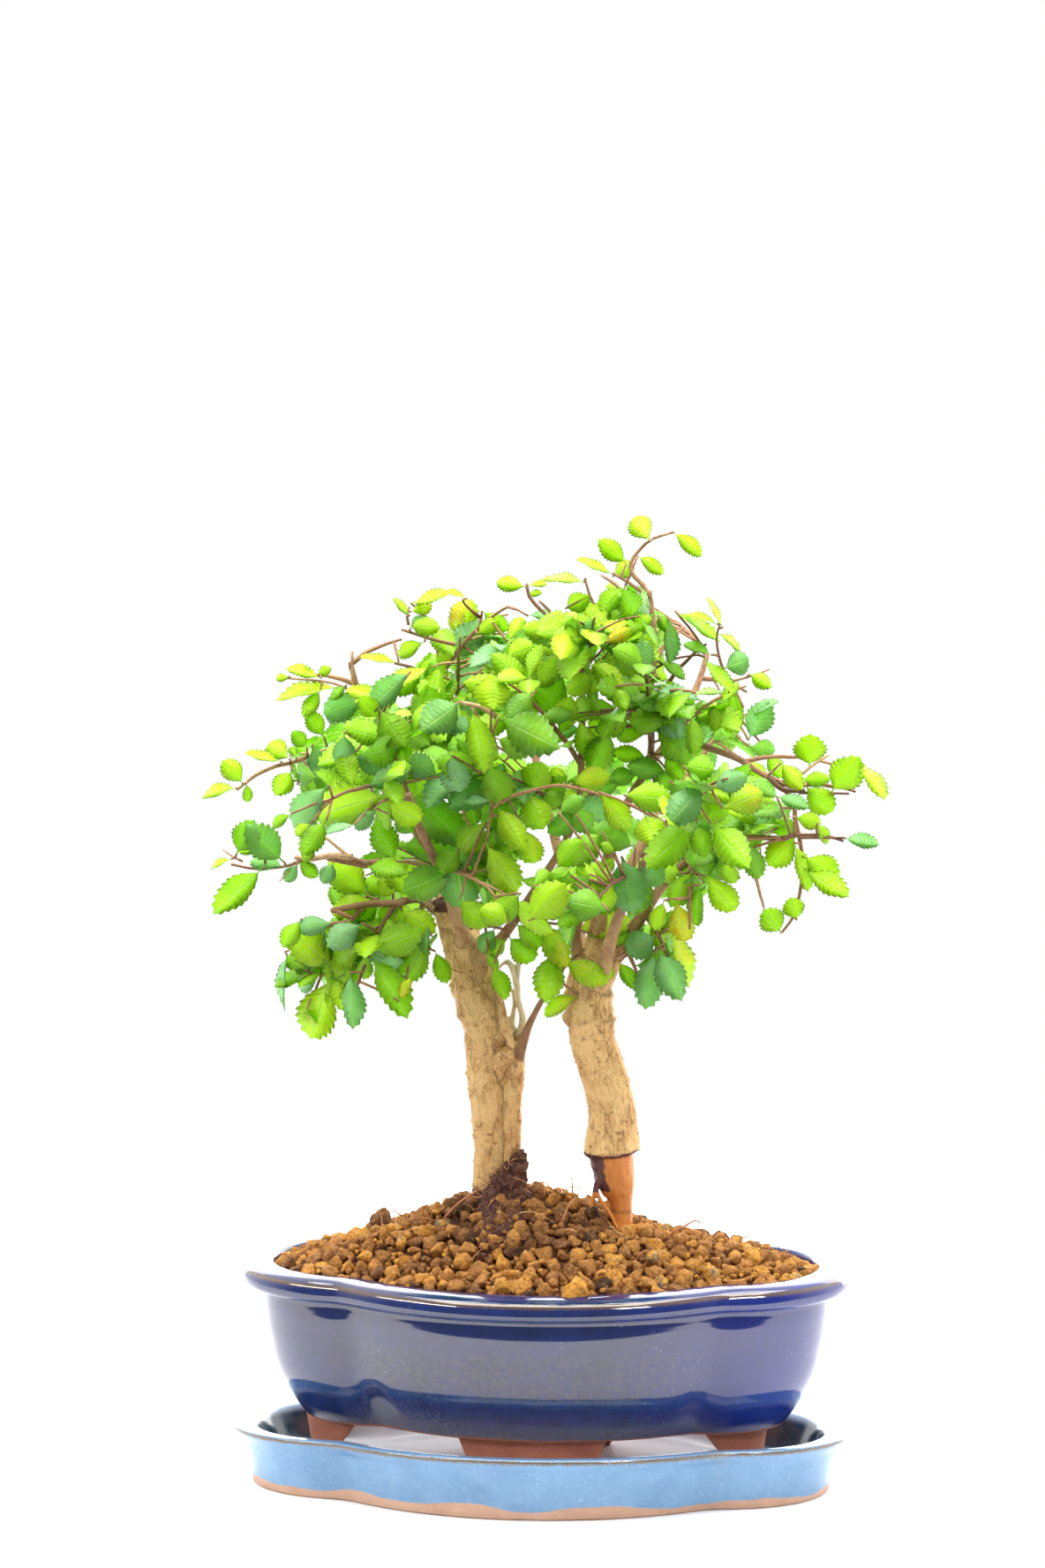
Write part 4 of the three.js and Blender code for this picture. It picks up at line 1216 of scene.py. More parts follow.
# Bend, fold, twist, width, where the leaf is widest and how blunt it is.
LEAF_KINDS = [
    (0.10, 0.26, 0.0, 1.0, 1.05, 0.78),
    (0.20, 0.32, 0.2, 0.95, 1.0, 0.8),
    (0.16, 0.14, -0.25, 1.08, 1.15, 0.7),
    (0.28, 0.36, 0.1, 1.0, 1.1, 0.75),
    (-0.08, 0.26, -0.15, 1.04, 0.95, 0.8),
]
leaf_shapes = [leaf_shape(number, *kind) for number, kind in enumerate(LEAF_KINDS)]
print("leaf faces:", len(leaf_shapes[0].polygons))

# %% [markdown]
# A leaf shines on top with a waxy skin and lets light through, so it glows yellow-green against the backdrop.
# The material mixes a glossy shader with a translucent one. The midrib and the side veins are pale, the blade
# swells between them, and the very edge is painted bright, as rim light from the backdrop. Tone runs from a
# pale grey-green, which is painted sheen, through deep and light green to the yellow of a leaf about to fall.

# %% Leaf finish
def leaf_finish():
    material, tree, shader = new_finish("elm_leaf", IOR=1.4)
    across, along, under = axes_of(tree, vector_of(tree, "leaf"))
    away = sums(tree, "ABSOLUTE", across)
    where = place(tree)
    patchy = between(tree, grain_of(tree, where, 130, 3), 0.3, 0.7, -0.07, 0.07)
    tone = plus(tree, attribute(tree, "tone"), patchy)
    # Painted sheen: tone 0 is a pale grey-green that stands for the white room reflected on some leaves.
    green = ramp(tree, tone, [
        (0.00, rgb(0.360, 0.640, 0.330)),
        (0.14, rgb(0.200, 0.440, 0.130)),
        (0.35, rgb(0.300, 0.575, 0.020)),
        (0.60, rgb(0.460, 0.745, 0.020)),
        (0.80, rgb(0.630, 0.860, 0.026)),
        (0.89, rgb(0.630, 0.850, 0.026)),
        (0.95, rgb(0.860, 0.800, 0.030)),
        (1.00, rgb(0.930, 0.560, 0.030)),
    ])
    slanted = sums(tree, "SUBTRACT", along, times(tree, away, 0.16))
    ribs = sums(tree, "PINGPONG", slanted, 0.05)
    side_vein = between(tree, ribs, 0.006, 0.0)
    midrib = between(tree, away, 0.06, 0.02)
    veins = sums(tree, "MAXIMUM", times(tree, side_vein, 0.2), times(tree, midrib, 0.55))
    blade = mixed(tree, veins, green, rgb(0.66, 0.84, 0.26))
    # Painted rim light: the edge of the blade is brightened as if lit from behind by the backdrop.
    painted_rim_light = between(tree, away, 0.93, 1.0, 0, 0.6)
    blade = mixed(tree, painted_rim_light, blade, rgb(0.74, 0.93, 0.30))
    below = between(tree, under, 0.49, 0.51)
    blade = mixed(tree, times(tree, below, 0.45), blade, rgb(0.34, 0.58, 0.17))
    waxy = between(tree, grain_of(tree, where, 300, 3), 0.3, 0.7, 0.2, 0.42)
    swell = plus(tree, times(tree, ribs, 7), times(tree, midrib, -0.8))
    swell = plus(tree, swell, times(tree, grain_of(tree, where, 900, 3), 0.25))
    normal = bumps(tree, swell, 0.0003, 0.8)
    feed(tree, shader, Base_Color=blade, Roughness=between(tree, below, 0, 1, waxy, 0.6), Normal=normal)
    glow = mixed(tree, 0.5, blade, rgb(0.46, 0.93, 0.02))
    through = add(tree, "BsdfTranslucent", Normal=normal, Color=glow)
    feed(tree, tree.nodes["Material Output"], Surface=blend(tree, 0.48, shader, through))
    return material

# %% Twig finish
def twig_finish():
    material, tree, shader = new_finish("young_twig_bark", IOR=1.45, Roughness=0.65)
    where = place(tree)
    fibres = grain_of(tree, where, 1400, 4, 0.7)
    rusty = ramp(tree, attribute(tree, "tone"), [
        (0.0, rgb(0.12, 0.042, 0.022)),
        (0.6, rgb(0.40, 0.20, 0.09)),
        (1.0, rgb(0.60, 0.40, 0.20)),
    ])
    colour = mixed(tree, between(tree, fibres, 0.55, 0.35, 0, 0.6), rusty, rgb(0.06, 0.024, 0.014))
    feed(tree, shader, Base_Color=colour, Normal=bumps(tree, fibres, 0.0003, 0.8))
    return material


elm_leaf, young_twig = leaf_finish(), twig_finish()

# %% [markdown]
# ## Leafy shoots
#
# Each shoot is one twig with the side twigs and leaves that grow from it. A shoot is named for its place and
# given as the branch it grows from, how far along that branch, and its tip. The tree is clipped, so its crown
# has a clear outline, which is read off a grid laid over the front view.

# %% The shoots
SHOOTS = {
    "far_left": ("left_leader", 0.62, (-106, -6, 236)),
    "low_left_reach": ("left_low", 0.98, (-98, -22, 211)),
    "upper_left": ("left_leader", 0.86, (-81, 10, 272)),
    "left_back": ("back_left", 0.8, (-96, 40, 233)),
    "left_heart": ("left_leader", 0.36, (-74, 2, 223)),
    "crown_stub": ("left_leader", 0.98, (-49, 16, 284)),
    "crown_left": ("crown_left", 0.98, (-42, 20, 292)),
    "crown_centre": ("crown_left", 0.78, (-12, 12, 296)),
    "crown_front": ("crown_left", 0.6, (-24, -22, 288)),
    "crown_right": ("right_riser", 0.98, (-1, 6, 298)),
    "crown_back": ("crown_left", 0.86, (-18, 56, 290)),
    "mid_top": ("right_riser", 0.84, (22, -34, 296)),
    "inner_mid": ("right_riser", 0.7, (-6, -36, 274)),
    "front_centre": ("right_riser", 0.5, (-14, -50, 246)),
    "inner_left": ("crown_left", 0.44, (-52, -18, 262)),
    "front_left": ("front_left", 0.98, (-59, -72, 239)),
    "front_upper_left": ("front_left", 0.75, (-46, -58, 264)),
    "front_mid": ("front_left", 0.4, (-8, -56, 206)),
    "back_left": ("back_left", 0.98, (-84, 84, 244)),
    "back_low_left": ("back_left", 0.45, (-66, 56, 188)),
    "left_tail": ("left_arm", 0.98, (-95, -24, 199)),
    "low_far_left": ("left_arm", 0.82, (-77, -14, 162)),
    "low_left_mid": ("left_arm", 0.6, (-58, -30, 171)),
    "low_left": ("left_arm", 0.34, (-44, -12, 171)),
    "low_centre": ("dark_twig", 0.96, (16, -18, 183)),
    "top": ("tall_leader", 0.98, (38, -4, 317)),
    "top_left": ("tall_leader", 0.9, (20, 6, 307)),
    "top_right": ("tall_leader", 0.82, (48, 6, 290)),
    "right_shoulder": ("tall_leader", 0.72, (57, -14, 286)),
    "mid_top_right": ("tall_leader", 0.64, (40, -46, 282)),
    "right_upper": ("right_sweep", 0.66, (69, 0, 271)),
    "inner_right": ("right_sweep", 0.54, (56, -40, 272)),
    "right_upper_back": ("top_back", 0.75, (66, 36, 266)),
    "back_top": ("top_back", 0.98, (35, 56, 290)),
    "right_end": ("right_sweep", 0.98, (107, -20, 238)),
    "right_end_up": ("right_sweep", 0.84, (100, -4, 245)),
    "right_mid": ("right_arm", 0.98, (104, -32, 223)),
    "hang_right": ("right_sweep", 0.93, (86, -24, 199)),
    "hang_right_back": ("back_right", 0.7, (80, 30, 217)),
    "low_right": ("right_arm", 0.82, (76, -10, 198)),
    "low_right_mid": ("right_arm", 0.6, (54, -38, 194)),
    "low_right_centre": ("right_arm", 0.36, (46, -20, 180)),
    "low_centre_right": ("right_arm", 0.16, (36, -22, 174)),
    "front_right": ("front_right", 0.98, (70, -80, 248)),
    "front_low_right": ("front_right", 0.6, (28, -78, 208)),
    "back_right": ("back_right", 0.98, (60, 82, 254)),
    "back_low_right": ("back_right", 0.5, (62, 58, 200)),
    "back_high": ("back_centre", 0.98, (-26, 86, 272)),
    "back_centre": ("back_centre", 0.66, (6, 86, 222)),
}

# %% Outline of the clipped crown
GRID_WIDTH, GRID_HEIGHT = 1184, 1776
FOCUS = camera_data.lens / camera_data.sensor_width * GRID_HEIGHT
EYE = (LOOK_AT + toward_camera * DISTANCE) / MM
TO_RIGHT = Vector((0, 0, 1)).cross(toward_camera).normalized()
TO_TOP = toward_camera.cross(TO_RIGHT)
CROWN = [
    (372, 802), (385, 786), (410, 766), (440, 756), (468, 756), (480, 740), (480, 724), (505, 722),
    (520, 702), (548, 708), (575, 724), (598, 702), (628, 692), (645, 684), (665, 690), (682, 664),
    (708, 655), (722, 655), (738, 672), (748, 692), (752, 750), (768, 764), (778, 784), (800, 792),
    (822, 792), (838, 802), (866, 808), (870, 842), (868, 860), (882, 882), (903, 895), (913, 904),
    (900, 925), (884, 940), (868, 948), (862, 983), (838, 982), (822, 996), (800, 1028), (788, 1048),
    (786, 1062), (768, 1070), (766, 1114), (740, 1122), (722, 1103), (705, 1064), (690, 1064), (668, 1092),
    (650, 1086), (640, 1110), (622, 1116), (607, 1100), (607, 1068), (588, 1084), (565, 1076), (548, 1074),
    (538, 1052), (520, 1040), (506, 1046), (492, 1072), (478, 1102), (460, 1100), (457, 1132), (432, 1110),
    (416, 1082), (404, 1142), (386, 1138), (360, 1162), (338, 1158), (336, 1120), (322, 1096), (335, 1072),
    (346, 1048), (380, 1042), (386, 1012), (382, 986), (400, 970), (420, 962), (426, 934), (400, 922),
    (375, 928), (352, 950), (346, 930), (338, 926), (350, 896), (336, 892), (326, 870), (322, 852),
    (346, 836), (372, 828),
]
SKY = [
    [(605, 937), (645, 937), (648, 955), (628, 988), (602, 986), (590, 972)],
    [(588, 986), (606, 984), (604, 1004), (592, 1022), (584, 1010)],
    [(494, 1042), (532, 1052), (549, 1076), (600, 1100), (600, 1164), (525, 1164), (511, 1115), (503, 1072)],
    [(596, 1070), (608, 1076), (606, 1092), (606, 1112), (594, 1100)],
    [(662, 1064), (704, 1064), (692, 1112), (692, 1150), (640, 1150), (646, 1112)],
    [(697, 803), (718, 803), (718, 812), (700, 812)],
    [(728, 836), (742, 836), (742, 858), (728, 858)],
    [(690, 860), (717, 862), (712, 872), (690, 870)],
    [(674, 783), (690, 780), (694, 806), (684, 812), (674, 800)],
    [(488, 996), (516, 996), (522, 1040), (492, 1042)],
    [(673, 1001), (692, 1006), (688, 1012), (672, 1005)],
    [(730, 998), (757, 996), (757, 1008), (745, 1020), (730, 1016)],
    [(704, 1064), (712, 1070), (710, 1095), (700, 1090)],
]
BOX_LOW, BOX_HIGH = (Vector(corner) * 1000 for corner in cad_box)


def on_grid(point):
    """Where a point shows on the grid, in steps to the right and down."""
    sight = point - EYE
    far = -sight.dot(toward_camera)
    right, up = FOCUS * sight.dot(TO_RIGHT) / far, FOCUS * sight.dot(TO_TOP) / far
    return GRID_WIDTH / 2 + right, GRID_HEIGHT / 2 - up


def off_grid(across, down, depth):
    """The point that shows at this place of the grid and lies at this depth."""
    right, up = across - GRID_WIDTH / 2, GRID_HEIGHT / 2 - down
    sight = TO_RIGHT * right / FOCUS + TO_TOP * up / FOCUS - toward_camera
    return EYE + sight * (depth - EYE.y) / sight.y


def within(spot, outline):
    """True if the outline goes round the spot: a line to the right crosses it an odd number of times."""
    crossings = 0
    for (x1, y1), (x2, y2) in zip(outline, outline[1:] + outline[:1]):
        if (y1 > spot[1]) != (y2 > spot[1]) and spot[0] < x1 + (spot[1] - y1) * (x2 - x1) / (y2 - y1):
            crossings += 1
    return crossings % 2 == 1


def in_box(point, spare=0.9):
    """True if the point is inside the CAD model's box, with this much to spare."""
    return all(low + spare < c < high - spare for low, c, high in zip(BOX_LOW, point, BOX_HIGH))


def unclipped(spots):
    """True if all of these places are inside the crown's outline and none shows in a patch of sky."""
    places = [on_grid(spot) for spot in spots]
    in_sky = any(within(place, patch) for place in places for patch in SKY)
    return all(within(place, CROWN) for place in places) and not in_sky

# %% [markdown]
# The leaves that stand out in the front view are placed one by one: foot and tip as they show on the grid,
# the width that shows, and the tone. A leaf that looks narrower than it is must be tilted, so the tilt is
# worked out from the width. Thin twigs and cut stubs that can be seen between the leaves are listed too.

# %% Leaves seen one by one
SEEN = {
    "far_left": [
        (268, 893, 225, 900, 16, 0.7), (275, 887, 256, 864, 22, 0.78), (279, 887, 281, 908, 10, 0.72),
        (318, 862, 281, 856, 12, 0.8), (328, 860, 304, 842, 23, 0.74), (348, 847, 332, 830, 17, 0.5),
        (367, 835, 349, 806, 20, 0.62), (331, 873, 315, 898, 23, 0.7), (354, 843, 366, 881, 28, 0.1),
        (336, 858, 330, 846, 10, 0.6), (352, 878, 372, 888, 16, 0.2),
    ],
    "upper_left": [
        (364, 768, 330, 757, 14, 0.82), (360, 764, 374, 757, 12, 0.8), (384, 778, 320, 787, 16, 0.82),
        (363, 782, 347, 808, 17, 0.7), (328, 767, 313, 768, 9, 0.9), (416, 792, 366, 806, 30, 0.08),
        (352, 764, 344, 755, 8, 0.8), (392, 776, 378, 790, 12, 0.3),
    ],
    "crown_stub": [
        (464, 697, 446, 681, 10, 0.7), (465, 693, 487, 686, 15, 0.93), (464, 709, 496, 711, 22, 0.7),
        (452, 750, 413, 748, 11, 0.84), (481, 727, 450, 742, 18, 0.78), (465, 712, 480, 700, 14, 0.12),
    ],
    "crown_left": [
        (465, 683, 508, 677, 14, 0.75), (514, 722, 532, 683, 32, 0.95), (512, 718, 520, 694, 18, 0.94),
        (529, 678, 503, 668, 8, 0.8), (546, 692, 573, 713, 18, 0.7), (508, 745, 545, 709, 34, 0.05),
        (500, 760, 507, 732, 15, 0.92), (542, 718, 564, 706, 15, 0.6),
    ],
    "crown_right": [
        (596, 665, 564, 659, 17, 0.78), (598, 663, 618, 660, 6, 0.75), (598, 674, 613, 671, 8, 0.8),
    ],
    "crown_centre": [
        (540, 718, 563, 704, 18, 0.8), (574, 727, 591, 702, 16, 0.84), (560, 760, 505, 772, 26, 0.06),
        (598, 697, 629, 697, 11, 0.05),
    ],
    "top_left": [
        (695, 650, 656, 638, 12, 0.7), (663, 660, 616, 650, 15, 0.6), (695, 653, 715, 640, 20, 0.8),
        (709, 638, 682, 615, 22, 0.84), (723, 630, 748, 648, 15, 0.82), (640, 690, 668, 676, 22, 0.72),
        (688, 712, 667, 690, 28, 0.72), (709, 664, 684, 691, 26, 0.55), (712, 690, 692, 706, 18, 0.4),
    ],
    "top": [(737, 613, 717, 584, 29, 0.84), (763, 603, 793, 627, 18, 0.84)],
    "mid_top": [
        (683, 728, 713, 715, 17, 0.99), (650, 768, 680, 775, 27, 0.86), (668, 750, 702, 776, 25, 0.84),
        (672, 762, 648, 783, 26, 0.86), (634, 752, 605, 772, 28, 0.66), (572, 745, 603, 733, 30, 0.78),
        (640, 762, 613, 808, 36, 0.5), (640, 735, 618, 772, 24, 0.7),
    ],
    "right_shoulder": [
        (757, 699, 761, 747, 18, 0.2), (765, 692, 809, 725, 12, 0.6), (813, 707, 780, 694, 9, 0.7),
        (819, 711, 800, 681, 9, 0.93), (813, 717, 839, 732, 8, 0.72), (806, 742, 777, 728, 13, 0.3),
        (820, 757, 846, 748, 25, 0.1), (798, 745, 824, 784, 15, 0.6), (826, 785, 775, 783, 11, 0.55),
        (746, 748, 775, 766, 13, 0.3), (738, 776, 704, 768, 15, 0.6), (745, 782, 765, 776, 12, 0.8),
        (745, 697, 757, 713, 14, 0.4),
    ],
    "right_upper": [
        (849, 763, 873, 778, 17, 0.72), (842, 802, 824, 826, 20, 0.75), (838, 770, 822, 792, 14, 0.7),
    ],
    "back_right": [
        (848, 838, 868, 800, 31, 0.12), (847, 812, 878, 793, 11, 0.05), (848, 846, 876, 850, 22, 0.25),
        (870, 853, 884, 878, 19, 0.55), (842, 862, 868, 884, 20, 0.7),
    ],
    "right_end": [
        (970, 860, 1001, 897, 13, 0.84), (942, 897, 972, 858, 36, 0.84), (912, 890, 941, 918, 28, 0.66),
        (885, 864, 906, 891, 21, 0.86), (908, 884, 938, 882, 17, 0.7),
    ],
    "right_end_up": [(917, 868, 917, 835, 36, 0.84)],
    "right_mid": [
        (956, 949, 992, 957, 15, 0.12), (900, 926, 928, 932, 19, 0.84), (925, 932, 939, 954, 13, 0.75),
        (846, 952, 860, 994, 24, 0.3), (818, 976, 832, 999, 18, 0.6), (880, 902, 913, 913, 16, 0.15),
    ],
    "hang_right": [
        (910, 970, 947, 994, 33, 0.85), (912, 985, 957, 1015, 23, 0.72), (903, 946, 872, 979, 31, 0.88),
        (899, 926, 882, 949, 23, 0.6), (885, 1056, 867, 1033, 29, 0.6), (903, 1042, 896, 1019, 24, 0.7),
        (900, 955, 916, 1004, 20, 0.78),
    ],
    "low_left_reach": [
        (268, 967, 287, 932, 31, 0.35), (321, 976, 282, 938, 36, 0.18), (322, 982, 283, 974, 20, 0.08),
        (297, 958, 272, 965, 13, 0.78), (262, 973, 238, 982, 8, 0.82), (297, 984, 250, 1031, 31, 0.5),
        (338, 978, 323, 999, 15, 0.1), (338, 975, 357, 991, 16, 0.55), (378, 977, 367, 999, 18, 0.06),
        (355, 960, 345, 975, 12, 0.5),
    ],
    "left_tail": [(341, 1042, 324, 1067, 20, 0.6), (378, 1046, 340, 1050, 20, 0.0)],
    "low_far_left": [
        (376, 1106, 348, 1179, 44, 0.86), (379, 1098, 332, 1056, 40, 0.88), (384, 1102, 390, 1141, 24, 0.74),
        (325, 1082, 316, 1143, 12, 0.05), (353, 1101, 314, 1118, 17, 0.4), (346, 1098, 326, 1083, 20, 0.55),
    ],
    "low_left_mid": [
        (421, 1082, 460, 1144, 33, 0.42), (396, 1102, 402, 1156, 25, 0.06), (421, 1077, 474, 1057, 36, 0.45),
        (452, 1134, 464, 1110, 12, 0.97), (416, 1079, 412, 1110, 18, 0.5), (408, 1068, 380, 1092, 26, 0.5),
        (410, 1046, 377, 1068, 30, 0.0),
    ],
    "low_left": [
        (482, 1063, 459, 1110, 33, 0.45), (493, 1077, 505, 1108, 18, 0.66), (418, 1015, 377, 978, 38, 0.88),
        (425, 1019, 384, 1032, 28, 0.88), (463, 1018, 456, 980, 40, 0.82), (430, 1016, 444, 996, 22, 0.84),
        (453, 1024, 430, 1046, 20, 0.7), (455, 1032, 490, 1054, 31, 0.82), (430, 1024, 402, 1046, 22, 0.6),
        (392, 1043, 380, 1005, 21, 0.35), (446, 1012, 416, 996, 24, 0.7), (470, 1030, 440, 1040, 24, 0.72),
    ],
    "front_left": [
        (441, 902, 354, 922, 47, 0.78), (372, 889, 329, 937, 34, 0.0), (370, 929, 345, 965, 24, 0.4),
        (436, 908, 474, 930, 27, 0.8), (426, 917, 404, 938, 17, 0.05), (352, 933, 337, 945, 15, 0.8),
        (402, 934, 370, 941, 10, 0.0), (330, 922, 308, 936, 12, 0.5),
    ],
    "front_upper_left": [
        (466, 760, 419, 800, 28, 0.12), (430, 803, 455, 842, 34, 0.4), (390, 830, 390, 868, 24, 0.05),
        (522, 795, 483, 824, 38, 0.15), (498, 880, 462, 860, 28, 0.15), (400, 856, 436, 872, 22, 0.1),
    ],
    "front_centre": [
        (535, 802, 549, 868, 31, 0.62), (565, 813, 631, 846, 44, 0.3), (558, 760, 557, 797, 36, 0.78),
        (510, 855, 519, 893, 31, 0.0), (552, 866, 570, 906, 36, 0.4), (600, 898, 613, 866, 34, 0.66),
        (648, 888, 688, 878, 27, 0.9), (635, 890, 656, 920, 22, 0.9), (640, 888, 626, 872, 17, 0.88),
        (597, 897, 612, 935, 33, 0.66), (563, 913, 590, 958, 29, 0.84), (556, 908, 528, 906, 12, 0.05),
        (592, 936, 604, 979, 29, 0.9), (566, 926, 578, 957, 22, 0.4), (562, 836, 598, 852, 24, 0.42),
        (606, 782, 578, 812, 24, 0.3), (662, 922, 626, 940, 24, 0.25), (572, 862, 560, 888, 20, 0.2),
        (612, 910, 634, 904, 20, 0.35),
    ],
    "front_mid": [
        (450, 960, 516, 957, 38, 0.3), (466, 898, 522, 951, 43, 0.3), (552, 930, 519, 966, 30, 0.6),
        (550, 955, 584, 1009, 35, 0.78), (516, 968, 524, 1028, 40, 0.16), (448, 975, 426, 932, 30, 0.42),
        (521, 1019, 549, 1047, 29, 0.66), (590, 1012, 563, 1040, 28, 0.55), (578, 1046, 549, 1030, 25, 0.72),
        (470, 945, 452, 925, 24, 0.3), (520, 962, 500, 985, 26, 0.35),
    ],
    "front_right": [
        (806, 933, 846, 980, 35, 0.6), (788, 929, 738, 978, 36, 0.5), (790, 932, 797, 968, 23, 0.45),
        (797, 889, 763, 927, 35, 0.1), (806, 892, 843, 880, 23, 0.0), (818, 916, 860, 900, 33, 0.88),
        (775, 868, 806, 872, 30, 0.4), (789, 929, 798, 909, 18, 0.6), (706, 900, 756, 905, 30, 0.66),
        (679, 897, 712, 938, 27, 0.9), (730, 921, 741, 953, 32, 0.86), (758, 884, 783, 906, 27, 0.25),
    ],
    "front_low_right": [
        (720, 960, 673, 940, 32, 0.3), (630, 983, 658, 954, 30, 0.55), (704, 970, 717, 1029, 42, 0.08),
        (689, 1031, 650, 1021, 31, 0.3), (599, 1043, 638, 1004, 40, 0.82), (697, 971, 683, 986, 16, 0.85),
        (725, 975, 748, 1000, 28, 0.1), (682, 942, 650, 976, 30, 0.4), (604, 1003, 621, 990, 18, 0.45),
        (651, 1000, 626, 990, 22, 0.4), (668, 990, 652, 1010, 20, 0.3), (697, 966, 682, 957, 14, 0.6),
        (632, 920, 660, 905, 20, 0.3), (648, 915, 668, 940, 26, 0.25),
    ],
    "mid_top_right": [
        (759, 817, 719, 815, 27, 0.42), (692, 826, 672, 870, 33, 0.4), (656, 813, 668, 857, 25, 0.74),
        (757, 874, 716, 868, 25, 0.3), (734, 858, 698, 852, 19, 0.74), (783, 808, 790, 852, 18, 0.5),
        (734, 832, 695, 828, 23, 0.68), (658, 825, 631, 829, 17, 0.05), (655, 808, 620, 812, 18, 0.3),
        (748, 838, 768, 859, 20, 0.36), (722, 878, 694, 881, 20, 0.28), (704, 888, 676, 894, 18, 0.25),
        (752, 805, 719, 792, 17, 0.3), (697, 778, 709, 802, 18, 0.55), (752, 856, 772, 880, 20, 0.6),
        (742, 900, 760, 876, 22, 0.35),
    ],
    "low_centre": [
        (584, 1046, 613, 1070, 26, 0.55), (576, 1061, 603, 1088, 27, 0.52), (617, 1046, 641, 1091, 30, 0.9),
        (626, 1078, 619, 1126, 34, 0.66), (638, 1088, 684, 1111, 28, 0.88), (655, 1128, 616, 1148, 19, 0.88),
        (560, 1092, 571, 1129, 19, 0.7), (640, 1035, 620, 1030, 20, 0.8), (573, 1063, 555, 1080, 18, 0.5),
        (561, 1051, 545, 1078, 20, 0.15), (552, 1078, 562, 1096, 12, 0.5),
    ],
    "low_centre_right": [
        (727, 1047, 663, 1054, 29, 0.9), (690, 1090, 685, 1109, 17, 0.8), (701, 1089, 718, 1116, 17, 0.5),
        (712, 1052, 700, 1068, 16, 0.4),
    ],
    "low_right_centre": [
        (741, 1078, 732, 1136, 33, 0.02), (746, 1076, 770, 1128, 33, 0.02), (744, 1060, 712, 1078, 32, 0.08),
        (757, 1052, 784, 1114, 24, 0.9), (738, 1024, 752, 1076, 22, 0.76),
    ],
    "low_right_mid": [
        (766, 1019, 776, 1066, 26, 0.96), (793, 1002, 784, 1048, 21, 0.4), (785, 986, 762, 1023, 28, 0.55),
        (800, 992, 831, 1030, 28, 0.82), (752, 1020, 742, 1050, 18, 0.84), (793, 990, 775, 1018, 20, 0.2),
    ],
    "inner_left": [(430, 868, 402, 884, 28, 0.5), (450, 880, 480, 905, 26, 0.5)],
}
SEEN_TWIGS = {
    "upper_left": [
        (0.75, 0.7, [(400, 784), (399, 738)]), (0.7, 0.5, [(447, 790), (402, 783), (374, 773), (326, 768)]),
    ],
    "front_centre": [
        (0.95, 0.55, [
            (558, 914), (578, 903), (600, 896), (627, 890), (650, 892), (680, 900), (722, 914), (754, 919),
        ]),
        (0.6, 0.5, [(557, 914), (554, 935), (551, 953)]), (0.6, 0.4, [(556, 842), (575, 853), (592, 870)]),
    ],
    "front_left": [
        (1.0, 0.7, [(466, 900), (444, 903), (422, 914)]), (0.5, 0.4, [(440, 922), (425, 915), (420, 908)]),
    ],
    "front_upper_left": [(1.5, 1.1, [(450, 853), (424, 845), (396, 832)])],
    "inner_mid": [(1.3, 1.0, [(563, 812), (545, 801), (523, 796)])],
    "crown_left": [
        (0.9, 0.5, [(545, 700), (530, 688), (524, 680)]),
        (1.0, 0.6, [(487, 790), (482, 768), (470, 757), (447, 751)]),
    ],
    "crown_stub": [
        (1.0, 0.6, [(516, 730), (490, 724), (455, 713)]), (0.7, 0.5, [(463, 708), (461, 696), (464, 687)]),
    ],
    "crown_right": [(0.9, 0.7, [(626, 702), (612, 690), (600, 676), (597, 662)])],
    "top_left": [
        (0.7, 0.5, [(676, 690), (668, 674), (663, 656)]),
        (0.9, 0.6, [(733, 675), (722, 667), (708, 657), (695, 650)]),
    ],
    "low_centre": [
        (0.7, 0.6, [(532, 1052), (555, 1049), (575, 1054)]),
        (0.7, 0.6, [(577, 1053), (594, 1030), (606, 1012)]),
        (0.7, 0.45, [(588, 1042), (626, 1046), (650, 1050), (668, 1058)]),
    ],
    "low_far_left": [
        (0.6, 0.4, [(400, 1094), (378, 1100), (353, 1104), (352, 1114)]),
        (0.5, 0.4, [(345, 1070), (334, 1074), (323, 1078)]),
    ],
    "low_left": [
        (1.0, 0.8, [(492, 1029), (473, 1018), (449, 1022), (432, 1024)]),
        (0.7, 0.5, [(428, 1020), (420, 1016), (413, 1009)]),
    ],
    "low_left_reach": [
        (1.5, 1.0, [(400, 971), (375, 969), (352, 973), (334, 971)]),
        (0.8, 0.6, [(398, 972), (384, 961), (366, 946)]), (0.5, 0.3, [(340, 976), (328, 986), (317, 998)]),
        (0.6, 0.3, [(275, 976), (262, 969), (252, 962)]),
    ],
    "right_upper": [(0.6, 0.35, [(828, 772), (850, 766), (872, 758)])],
    "right_end": [
        (1.2, 1.0, [(870, 879), (886, 894), (912, 896)]), (0.7, 0.5, [(905, 898), (930, 898), (962, 899)]),
    ],
    "right_end_up": [(0.7, 0.6, [(906, 879), (922, 866), (939, 855)])],
    "right_mid": [(0.6, 0.5, [(907, 949), (932, 949), (957, 949)])],
    "right_shoulder": [
        (0.7, 0.4, [(824, 770), (815, 745), (812, 722), (816, 706)]),
        (0.6, 0.4, [(742, 757), (765, 746), (790, 742)]),
    ],
}
STUB_TONES = {
    "front_upper_left": 1.0, "inner_mid": 0.9, "front_left": 0.8, "front_centre": 0.6, "low_left": 1.0,
    "low_left_reach": 0.85, "right_end_up": 0.95, "right_end": 0.1,
}
